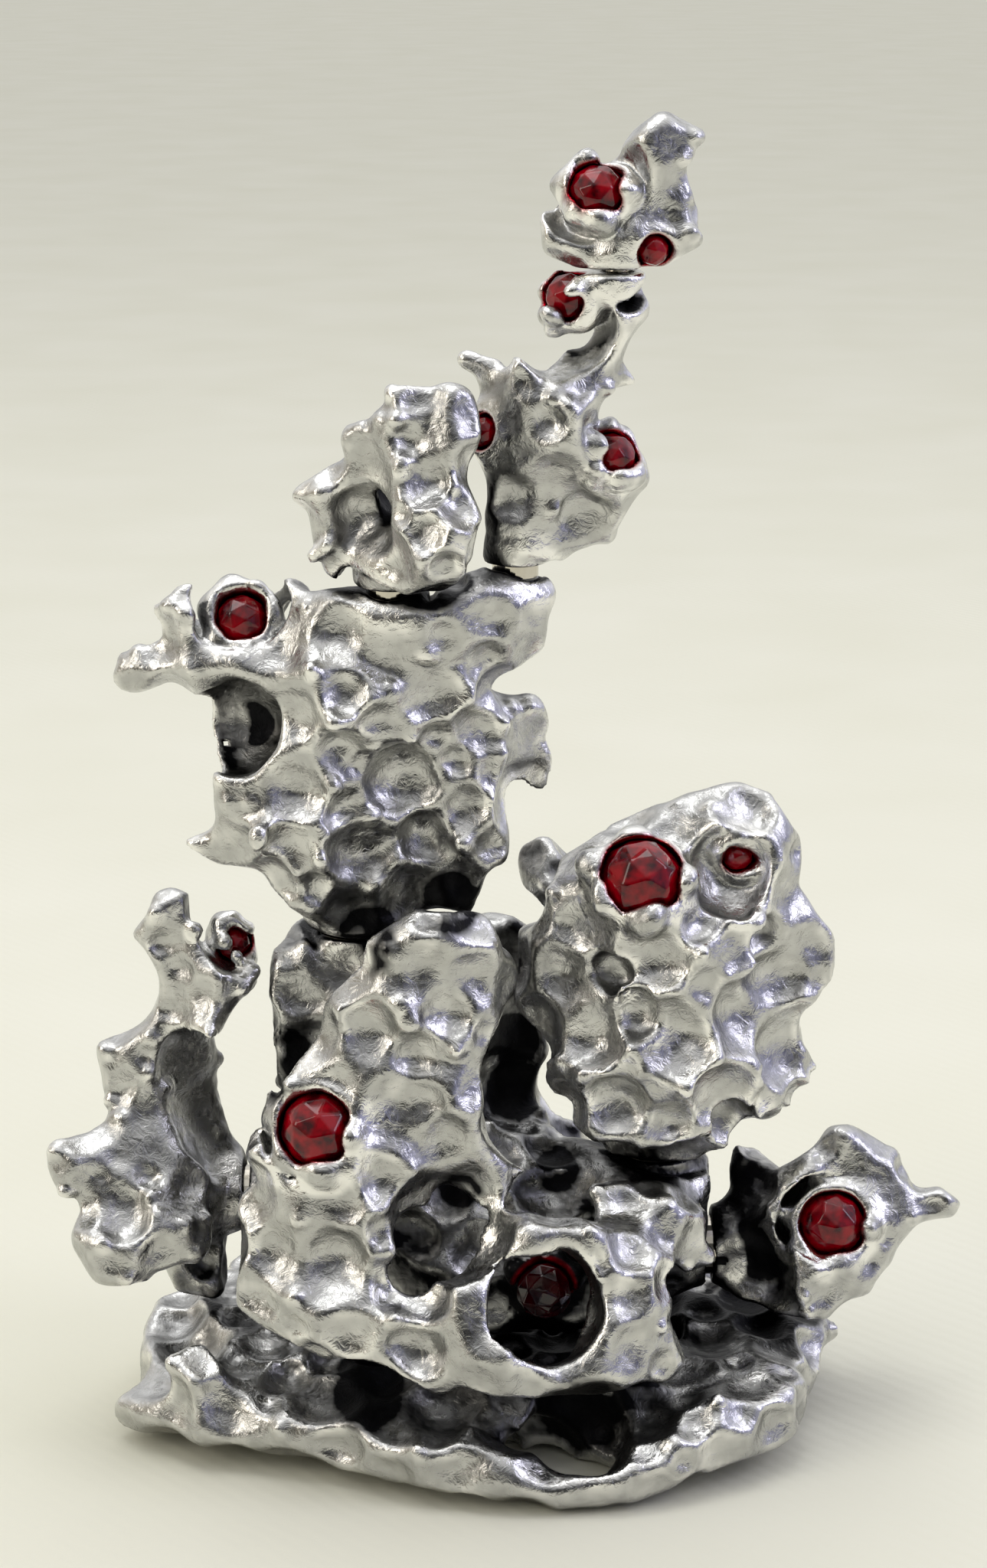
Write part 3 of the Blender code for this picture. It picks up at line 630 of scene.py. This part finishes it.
def cast(name, seed):
    """A casting's field: blank, bowls, cups and seats, knobs, lips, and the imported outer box."""
    field = Field(name, VOXELS[name])
    envelope = field.value.copy()
    softened = blurred(field.value, round(0.5 / field.voxel**2))
    field.value = softened - SWELL
    bowls, meetings = choose_bowls(field, name, seed)

    coordinates = drifted_coordinates(field, seed)
    for mouth, axis, radius, depth in zip(*bowls):
        press_bowl(field, coordinates, mouth, axis, radius * MOUTH_STRETCH, depth)
    for bead in BEADS:
        middle, radius = bead_place(bead)
        leave_metal(field, coordinates, middle, np.zeros(3), radius + CUP_WALL, 1.6)
    for seat in SEATS:
        middle, stretch, radius = seat_place(seat)
        leave_metal(field, coordinates, middle, stretch, radius + SEAT_WALL, 2.2)
    field.value = smooth_max(field.value, softened, RIDGE_ROUNDING)
    field.value = np.maximum(field.value, envelope + INSIDE)
    add_knobs(field, coordinates, *meetings)
    lap_over_beads(field, coordinates, envelope)
    for axis, along in enumerate(plain_coordinates(field)):
        field.value = np.maximum(field.value, cad_low[axis] / MM + INSIDE - along)
        field.value = np.maximum(field.value, along - cad_high[axis] / MM + INSIDE)
    field.value = one_solid_piece(field.value.astype(np.float32))
    return field


fields = {name: cast(name, 100 + 7 * n) for n, name in enumerate(VOXELS)}

# %% [markdown]
# ## How open each spot is
#
# When the casting is burnished the wheel reaches the ridges and the shallow bowls and never the
# clefts. The finish paints the clefts dark as shade, where the metal round them hides the light. So
# each vertex of the finished surface stores how much of the sky above it is free of metal: it looks
# out in a few dozen directions and notes which of them run into another part of the sculpture.

# %% One coarse block of the whole piece
SKY_PITCH = 1.0
sky_low = np.array(cad_low) / MM - 6
sky_shape = np.ceil((np.array(cad_high) / MM + 6 - sky_low) / SKY_PITCH).astype(int)
metal = np.zeros(tuple(sky_shape), bool)
for field in fields.values():
    axes = [sky_low[a] + SKY_PITCH * np.arange(n) for a, n in enumerate(sky_shape)]
    picks, spans = [], []
    for a in range(3):
        at = np.round((axes[a] - field.low[a]) / field.voxel).astype(int)
        within = np.flatnonzero((at >= 0) & (at < field.value.shape[a]))
        spans.append(slice(within[0], within[-1] + 1))
        picks.append(at[within])
    metal[tuple(spans)] |= field.value[np.ix_(*picks)] < 0


def openness(points, normals):
    """Share of the sky over each point, weighted by how squarely it faces, that no metal hides."""
    lifted = points + 1.3 * normals
    free, total = np.zeros(len(points)), np.zeros(len(points))
    for direction in even_directions(40):
        facing = normals @ direction
        clear = facing > 0.05
        for distance in (0.8, 2.0, 3.4, 5.0, 7.0, 9.5, 12.5, 16.0):
            at = ((lifted + direction * distance - sky_low) / SKY_PITCH).round().astype(int)
            at = np.clip(at, 0, sky_shape - 1)
            clear &= ~metal[tuple(at.T)]
        weight = np.where(facing > 0.05, facing, 0)
        free += weight * clear
        total += weight
    return free / np.maximum(total, 1e-6)


print("sky block", metal.shape, "filled", metal.mean().round(3))

# %% [markdown]
# ## From field to mesh
#
# OpenVDB lays one four-sided face across every voxel that the surface passes through. The vertices
# carry four things that the finish reads: how open the spot is, which sets the painted shade in the
# clefts, where the painted shadows of the listed dark hollows lie, how near it is to a ruby bead, and
# how sharply the surface bends outwards, which is where the ridges wear bright.

# %% Painted shadows on the listed dark hollows: bead, mm to its right, mm above it, radius in mm
PAINTED_SHADOWS = [
    ("bead_hollow", 0, 0, 5.6), ("bead_hollow", 5, -15, 6.0), ("bead_hollow", -11, 13, 3.2),
    ("bead_hollow", 2, 14, 2.8), ("bead_collar", 25, 2, 4.0), ("bead_collar", 25, 9, 3.6),
    ("bead_collar", -6, 8, 4.4), ("bead_collar", 6, -35, 4.5), ("bead_collar", 6, 24, 4.2),
    ("bead_collar", 17, 29, 4.0), ("bead_arm", 1, -13, 2.8), ("bead_branch", -10, -4, 4.2),
]


def painted_shadow_mask(points, normals, bend):
    """Painted shadow: 1 in the middle of a listed hollow, 0 past its rim, on sharp ridges and on the far
    side.
    """
    black = np.zeros(len(points))
    for middle, (_, _, _, radius) in zip(beside_beads(PAINTED_SHADOWS), PAINTED_SHADOWS):
        offset = points - middle
        from_line = np.linalg.norm(offset - (offset @ to_eye)[:, None] * to_eye, axis=1)
        black = np.maximum(black, np.clip((1.12 - from_line / radius) / 0.3, 0, 1))
    return black * np.clip(1 - bend / 0.35, 0, 1) * np.clip(0.8 + 2 * (normals @ to_eye), 0, 1)


# %% Meshes
def store(mesh, name, values):
    attribute = mesh.attributes.new(name, "FLOAT", "POINT")
    attribute.data.foreach_set("value", values.astype(np.float32))


def link(name, mesh):
    made = bpy.data.objects.new(name, mesh)
    bpy.context.scene.collection.objects.link(made)
    return made


def casting_mesh(field):
    grid = openvdb.FloatGrid(FIELD_DEPTH)
    grid.copyFromArray(field.value)
    points, _, quads = grid.convertToPolygons(isovalue=0.0, adaptivity=0.0)
    points = points * field.voxel + field.low
    quads = quads.astype(np.int64)
    a, b, c = (points[quads[:, n]] for n in range(3))
    if np.sum(np.cross(b - a, c - a) * a) < 0:
        quads = quads[:, ::-1]
    mesh = bpy.data.meshes.new(field.name + "_cast")
    mesh.from_pydata((points * MM).tolist(), [], quads.tolist())
    mesh.shade_smooth()
    normals = field.normal(points)
    open_sky = openness(points, normals)
    # Near every bead but the one in the hollow the sky counts as open, which keeps the painted shade off the
    # cups.
    for bead in BEADS:
        if bead != "bead_hollow":
            middle, radius = bead_place(bead)
            away = np.linalg.norm(points - middle, axis=1) - radius
            open_sky = np.maximum(open_sky, 0.85 * np.clip(1.6 - away / 4, 0, 1))
    store(mesh, "open", open_sky)
    print(field.name, "open to the sky, tenths:", np.percentile(open_sky, range(10, 100, 20)).round(2))
    bend = field.sample(points + 0.9 * normals) + field.sample(points - 0.9 * normals)
    store(mesh, "bend", bend)
    store(mesh, "black", painted_shadow_mask(points, normals, bend))
    ruby = np.zeros(len(points))
    for bead in BEADS:
        middle, radius = bead_place(bead)
        high = field.low + field.voxel * np.array(field.value.shape)
        if np.all(middle > field.low - 3) and np.all(middle < high + 3):
            away = np.linalg.norm(points - middle, axis=1) - radius
            ruby = np.maximum(ruby, np.clip(1 - away / 3.0, 0, 1))
    store(mesh, "ruby", ruby)
    return mesh


castings = {}
for name, field in fields.items():
    piece = link(name + "_casting", casting_mesh(field))
    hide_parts(name)
    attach(piece, node_body(name))
    castings[name] = piece
    print(piece.name, len(piece.data.polygons), "faces")

# %% [markdown]
# ## Colours and nodes

# %% Helpers for materials
RGBA = {"data_type": "RGBA"}
FACTOR, A, B, RESULT = 0, 6, 7, 2  # a Mix node's sockets when it mixes colours
RAMP = "ShaderNodeValToRGB"
NOISE = "ShaderNodeTexNoise"
MATH = "ShaderNodeMath"
MIX = "ShaderNodeMix"


def colour(hex_code):
    """A linear RGBA colour from an sRGB hex code."""
    parts = [int(hex_code[n : n + 2], 16) / 255 for n in (0, 2, 4)]
    return (*[p / 12.92 if p <= 0.04045 else ((p + 0.055) / 1.055) ** 2.4 for p in parts], 1)


def node(tree, kind, settings=(), inputs=(), stops=()):
    """Adds a node, sets its properties and any colour stops, and sets or links its inputs.

    An input is told by its name or number, a stop by its position and colour, in rising order.
    """
    made = tree.nodes.new(kind)
    for name, value in dict(settings).items():
        setattr(made, name, value)
    for name, value in dict(inputs).items():
        if isinstance(value, bpy.types.NodeSocket):
            tree.links.new(value, made.inputs[name])
        else:
            made.inputs[name].default_value = value
    if stops:
        first, last = made.color_ramp.elements
        first.position, first.color = stops[0]
        last.position, last.color = stops[-1]
    for position, shade in stops[1:-1]:
        made.color_ramp.elements.new(position).color = shade
    return made


def new_material(name):
    material = bpy.data.materials.new(name)
    material.use_nodes = True
    tree = material.node_tree
    tree.nodes.clear()
    shader = node(tree, "ShaderNodeBsdfPrincipled")
    node(tree, "ShaderNodeOutputMaterial", inputs={"Surface": shader.outputs["BSDF"]})
    return material, tree, shader


def grey(level):
    return (level, level, level, 1)


# %% [markdown]
# ## Burnished cast aluminium
#
# Poured aluminium, brushed with brass wire and burnished by hand. The skin that froze against the
# wet beads is finely wrinkled, which breaks every highlight into sparks. Ridges are polished and open
# bowls are satin. Deep clefts, and the listed dark hollows, get painted shade and shadow: a near-black,
# matt colour. Near each glass bead the metal is tinted with the ruby lacquer that beds it in.

# %% Metal


def burnished_cast_aluminium():
    material, tree, shader = new_material("burnished_cast_aluminium")
    where = node(tree, "ShaderNodeTexCoord").outputs["Object"]
    blotches, clouding, frosting = (
        node(tree, NOISE, inputs={"Vector": where, "Scale": 1 / (size * MM), "Detail": detail}).outputs["Fac"]
        for size, detail in ((5.0, 3), (2.2, 3), (1.6, 4))
    )
    open_sky, bend, black, near_ruby = (
        node(tree, "ShaderNodeAttribute", {"attribute_name": name}).outputs["Fac"]
        for name in ("open", "bend", "black", "ruby")
    )
    mottle = node(tree, MATH, {"operation": "MULTIPLY"}, {0: blotches, 1: 0.3}).outputs[0]
    sky = node(tree, MATH, {"operation": "ADD"}, {0: open_sky, 1: mottle}).outputs[0]
    # Painted shade: the less of the sky a spot sees, the darker it is painted, near black in the clefts.
    clefts = [(0.48, grey(1)), (0.68, grey(0.62)), (0.98, grey(0))]
    cleft_shade = node(tree, RAMP, inputs={"Fac": sky}, stops=clefts).outputs["Color"]
    added = {"operation": "ADD", "use_clamp": True}
    # Painted shadow on the listed hollows, added to the painted shade of the clefts.
    shade_and_shadow = node(tree, MATH, added, {0: black, 1: cleft_shade}).outputs[0]
    painted_shade, ridge, lacquer, skin = (
        node(tree, RAMP, inputs={"Fac": along}, stops=stops).outputs["Color"]
        for along, stops in (
            (shade_and_shadow, [(0.0, grey(0)), (0.85, grey(1))]),
            (bend, [(0.02, grey(0)), (0.3, grey(1))]),
            (near_ruby, [(0.62, grey(0)), (0.82, grey(1))]),
            (frosting, [(0.3, grey(0.13)), (0.7, grey(0.3))]),
        )
    )

    metal_colour = colour("A2A2A1")
    # The near-black 1B1B1D is painted shade and shadow, in the clefts and the listed hollows; there the metal
    # is also rougher.
    for share, coat in ((clouding, "D2D2D0"), (ridge, "F4F3F0"), (painted_shade, "1B1B1D"), (lacquer, "7E000F")):
        coats = {FACTOR: share, A: metal_colour, B: colour(coat)}
        metal_colour = node(tree, MIX, RGBA, coats).outputs[RESULT]
    tree.links.new(metal_colour, shader.inputs["Base Color"])
    shader.inputs["Metallic"].default_value = 1.0

    rough = skin
    for share, level in ((ridge, 0.1), (painted_shade, 0.42)):
        rough = node(tree, MIX, RGBA, {FACTOR: share, A: rough, B: grey(level)}).outputs[RESULT]
    tree.links.new(rough, shader.inputs["Roughness"])

    crumpled = {"Vector": where, "Scale": 1 / (1.5 * MM), "Detail": 4, "Roughness": 0.62, "Distortion": 1.4}
    wrinkles = node(tree, NOISE, inputs=crumpled).outputs["Fac"]
    bump = node(tree, "ShaderNodeBump", inputs={"Height": wrinkles, "Strength": 0.5, "Distance": 0.00032})
    tree.links.new(bump.outputs["Normal"], shader.inputs["Normal"])
    return material


aluminium = burnished_cast_aluminium()
for piece in castings.values():
    piece.data.materials.append(aluminium)

# %% [markdown]
# ## Ruby glass beads
#
# Faceted, fire-polished glass beads: rows of flat facets, each row turned half a step from the
# next, with the edges just melted round. The glass is deep red right through.

# %% Beads
RUBY_ROWS = 5
RUBY_SIDES = 9
FACETS_PROUD = 0.12  # mm that the corners of the facets stand past a round bead


def ruby_glass(name, dark, light):
    material, tree, shader = new_material(name)
    shader.inputs["Roughness"].default_value = 0.05
    shader.inputs["IOR"].default_value = 1.5
    shader.inputs["Transmission Weight"].default_value = 0.15
    where = node(tree, "ShaderNodeTexCoord").outputs["Object"]
    depth = node(tree, NOISE, inputs={"Vector": where, "Scale": 1 / (2.0 * MM), "Detail": 2}).outputs["Fac"]
    share = node(tree, RAMP, inputs={"Fac": depth}, stops=[(0.35, grey(0)), (0.65, grey(1))]).outputs["Color"]
    tint = node(tree, MIX, RGBA, {FACTOR: share, A: colour(dark), B: colour(light)}).outputs[RESULT]
    tree.links.new(tint, shader.inputs["Base Color"])
    return material


def faceted_bead(name, seed):
    """Points on a ball: rows of equal height, each turned half a facet, joined by triangles."""
    middle, radius = bead_place(name)
    radius += FACETS_PROUD
    rows = np.linspace(0, math.pi, RUBY_ROWS + 2)[1:-1]
    turn = 2 * math.pi * (np.arange(RUBY_SIDES) + 0.5 * np.arange(RUBY_ROWS)[:, None]) / RUBY_SIDES
    polar = rows[:, None] + 0 * turn
    ring = np.stack([np.sin(polar) * np.cos(turn), np.sin(polar) * np.sin(turn), np.cos(polar)], axis=2)
    points = np.vstack([[[0, 0, 1]], ring.reshape(-1, 3), [[0, 0, -1]]])
    points[[0, -1]] *= 0.94
    side = np.arange(RUBY_SIDES)
    following = (side + 1) % RUBY_SIDES
    faces = [np.stack([0 * side, 1 + side, 1 + following], axis=1)]
    for row in range(RUBY_ROWS - 1):
        upper, lower = 1 + row * RUBY_SIDES, 1 + (row + 1) * RUBY_SIDES
        faces.append(np.stack([upper + side, lower + side, upper + following], axis=1))
        faces.append(np.stack([upper + following, lower + side, lower + following], axis=1))
    last = 1 + (RUBY_ROWS - 1) * RUBY_SIDES
    faces.append(np.stack([0 * side + len(points) - 1, last + following, last + side], axis=1))
    tilt = np.random.default_rng(seed).uniform(-1, 1, 3)
    turned = np.array(Vector((0, 0, 1)).rotation_difference(Vector(tilt)).to_matrix())
    points = points @ turned.T * radius + middle
    mesh = bpy.data.meshes.new(name + "_glass")
    mesh.from_pydata((points * MM).tolist(), [], np.vstack(faces).tolist())
    mesh.shade_flat()
    made = link(name + "_glass", mesh)
    edges = made.modifiers.new("fire polish", "BEVEL")
    edges.width = 0.05 * radius * MM
    edges.segments = 2
    edges.limit_method = "NONE"
    edges.harden_normals = True
    return made


ruby = ruby_glass("ruby_glass", "3C0007", "A00014")
# A darker copy of the ruby glass for the bead deep in the crag's hollow: painted shade, since that bead sits
# in shadow.
shaded_ruby = ruby_glass("deep_ruby_glass", "180004", "4A0009")
for n, name in enumerate(sorted(BEADS)):
    bead = faceted_bead(name, 40 + n)
    bead.data.materials.append(shaded_ruby if name == "bead_hollow" else ruby)
    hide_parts(name)
    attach(bead, node_body(name))
print(len(BEADS), "beads")

# %% [markdown]
# ## Slugs and magnets
#
# The steel slugs are parted off a bar and ground on a flat stone, which leaves fine straight
# scratches. The neodymium magnets are nickel plated, bright and faintly warm.

# %% Finishes for the small discs


def ground_steel():
    material, tree, shader = new_material("ground_steel")
    where = node(tree, "ShaderNodeTexCoord").outputs["Object"]
    along_one_way = {"Vector": where, "Scale": (4000, 250, 250)}
    stretched = node(tree, "ShaderNodeMapping", inputs=along_one_way).outputs["Vector"]
    scratches = node(tree, NOISE, inputs={"Vector": stretched, "Scale": 1.0, "Detail": 3.0}).outputs["Fac"]
    shades = {FACTOR: scratches, A: colour("8E8F92"), B: colour("C2C3C6")}
    tree.links.new(node(tree, MIX, RGBA, shades).outputs[RESULT], shader.inputs["Base Color"])
    rough = node(tree, RAMP, inputs={"Fac": scratches}, stops=[(0.3, grey(0.24)), (0.7, grey(0.42))])
    tree.links.new(rough.outputs["Color"], shader.inputs["Roughness"])
    shader.inputs["Metallic"].default_value = 1.0
    bump = node(tree, "ShaderNodeBump", inputs={"Height": scratches, "Strength": 0.25, "Distance": 0.00005})
    tree.links.new(bump.outputs["Normal"], shader.inputs["Normal"])
    return material


def nickel_plate():
    material, tree, shader = new_material("bright_nickel_plate")
    where = node(tree, "ShaderNodeTexCoord").outputs["Object"]
    clouding, smears = (
        node(tree, NOISE, inputs={"Vector": where, "Scale": 1 / (size * MM), "Detail": 3}).outputs["Fac"]
        for size in (2.5, 0.8)
    )
    shades = {FACTOR: clouding, A: colour("D9D3C6"), B: colour("BDB8AC")}
    tree.links.new(node(tree, MIX, RGBA, shades).outputs[RESULT], shader.inputs["Base Color"])
    rough = node(tree, RAMP, inputs={"Fac": smears}, stops=[(0.3, grey(0.08)), (0.75, grey(0.2))])
    tree.links.new(rough.outputs["Color"], shader.inputs["Roughness"])
    shader.inputs["Metallic"].default_value = 1.0
    return material


steel, nickel = ground_steel(), nickel_plate()
for name, cad in frame["nodes"].items():
    if "_slug_" in name or name.endswith("_magnet"):
        cad.data.materials.clear()
        cad.data.materials.append(nickel if name.endswith("_magnet") else steel)

# %% [markdown]
# ## The desk and the light
#
# A pale cloth, laid flat, and soft studio light: a large soft box above and to
# the left, a cooler one to the right, and a dim room in front, because bright metal shows its
# shape only when it has something dark to reflect.

# %% Cloth


def pale_cloth():
    material, tree, shader = new_material("fine_knit_cloth")
    where = node(tree, "ShaderNodeTexCoord").outputs["Object"]
    clouding, fuzz, creases = (
        node(
            tree,
            NOISE,
            inputs={"Vector": where, "Scale": 1 / (size * MM), "Detail": detail, "Distortion": twist},
        ).outputs["Fac"]
        for size, detail, twist in ((60.0, 2, 0.0), (0.8, 3, 0.0), (45.0, 2, 0.6))
    )
    shades = {FACTOR: clouding, A: colour("D9D8C6"), B: colour("E2E1D3")}
    tree.links.new(node(tree, MIX, RGBA, shades).outputs[RESULT], shader.inputs["Base Color"])
    shader.inputs["Roughness"].default_value = 0.9
    height = node(
        tree,
        "ShaderNodeTexWave",
        settings={"wave_type": "BANDS", "bands_direction": "DIAGONAL"},
        inputs={"Vector": where, "Scale": 180.0, "Distortion": 2.0, "Detail": 2.0},
    ).outputs["Fac"]
    folds = node(tree, MATH, {"operation": "MULTIPLY"}, {0: creases, 1: 12.0}).outputs[0]
    for part in (fuzz, folds):
        height = node(tree, MATH, {"operation": "ADD"}, {0: height, 1: part}).outputs[0]
    bump = node(tree, "ShaderNodeBump", inputs={"Height": height, "Strength": 0.15, "Distance": 0.0002})
    tree.links.new(bump.outputs["Normal"], shader.inputs["Normal"])
    return material


def spread_cloth(radius):
    """A flat disc: rings that get wider apart outwards, joined by four-sided faces."""
    rings = np.concatenate([[0.0], np.geomspace(60, radius, 24)])
    turn = 2 * math.pi * np.arange(96) / 96
    across, along = rings[:, None] * np.cos(turn), rings[:, None] * np.sin(turn)
    points = np.stack([across, along, 0 * across], axis=2)[1:].reshape(-1, 3)
    index = np.arange(len(points)).reshape(-1, 96)
    following = np.roll(index, -1, axis=1)
    faces = np.stack([index[:-1], index[1:], following[1:], following[:-1]], axis=2).reshape(-1, 4)
    mesh = bpy.data.meshes.new("cloth")
    mesh.from_pydata((points * MM).tolist(), [], faces.tolist() + [index[0].tolist()])
    return link("cloth", mesh)


cloth = spread_cloth(8000)
cloth.data.materials.append(pale_cloth())

# %% Lights


def soft_box(name, place, size, power, tint):
    light = bpy.data.lights.new(name, "AREA")
    light.shape = "RECTANGLE"
    light.size, light.size_y = size
    light.energy = power
    light.color = colour(tint)[:3]
    made = bpy.data.objects.new(name, light)
    made.location = place
    aim = Vector((0, 0, 0.09)) - Vector(place)
    made.rotation_mode = "QUATERNION"
    made.rotation_quaternion = aim.to_track_quat("-Z", "Y")
    bpy.context.scene.collection.objects.link(made)
    return made


soft_box("overhead", (-0.15, 0.1, 1.1), (0.7, 0.5), 3.2, "FFFFFF")
soft_box("left box", (-0.9, -0.45, 0.6), (0.4, 0.6), 2.4, "FFF8EC")
soft_box("right box", (0.9, -0.2, 0.7), (0.4, 0.6), 2.6, "EDEBFF")

# %% [markdown]
# The room is described by direction. Straight up is the brightest, the wall behind is pale, the
# right is a cool window and the left warm, and the side the piece is looked at from is dark near
# the horizon: that dark is what draws the bowls' shapes in the metal. The eye itself sees only a
# plain pale backdrop beyond the cloth.

# %% Room
world = bpy.data.worlds.new("room")
bpy.context.scene.world = world
world.use_nodes = True
world_tree = world.node_tree
world_tree.nodes.clear()
direction = node(world_tree, "ShaderNodeTexCoord").outputs["Generated"]
towards = node(world_tree, "ShaderNodeSeparateXYZ", inputs={"Vector": direction}).outputs
leftness = node(world_tree, MATH, {"operation": "MULTIPLY"}, {0: towards["X"], 1: -1.0}).outputs[0]
sky_levels = ((0.0, 0.0), (0.12, 0.02), (0.5, 0.16), (0.8, 0.75), (1.0, 1.0))
room, *walls = (
    node(world_tree, RAMP, inputs={"Fac": along}, stops=stops).outputs["Color"]
    for along, stops in (
        (towards["Z"], [(position, grey(level)) for position, level in sky_levels]),
        (towards["Y"], [(0.0, grey(0.0)), (0.75, grey(0.65))]),
        (towards["X"], [(0.35, grey(0.0)), (0.9, colour("9293B4"))]),
        (leftness, [(0.35, grey(0.0)), (0.9, colour("9C9484"))]),
    )
)
for wall in walls:
    lit = {FACTOR: 1.0, A: room, B: wall}
    room = node(world_tree, MIX, {**RGBA, "blend_type": "ADD"}, lit).outputs[RESULT]
seen_by_eye = node(world_tree, "ShaderNodeLightPath").outputs["Is Camera Ray"]
backdrop = {FACTOR: seen_by_eye, A: room, B: colour("E2E6EC")}
shown = node(world_tree, MIX, RGBA, backdrop).outputs[RESULT]
background = node(world_tree, "ShaderNodeBackground", inputs={"Color": shown, "Strength": 1.0})
node(world_tree, "ShaderNodeOutputWorld", inputs={"Surface": background.outputs["Background"]})

bpy.context.scene.view_settings.view_transform = "Standard"
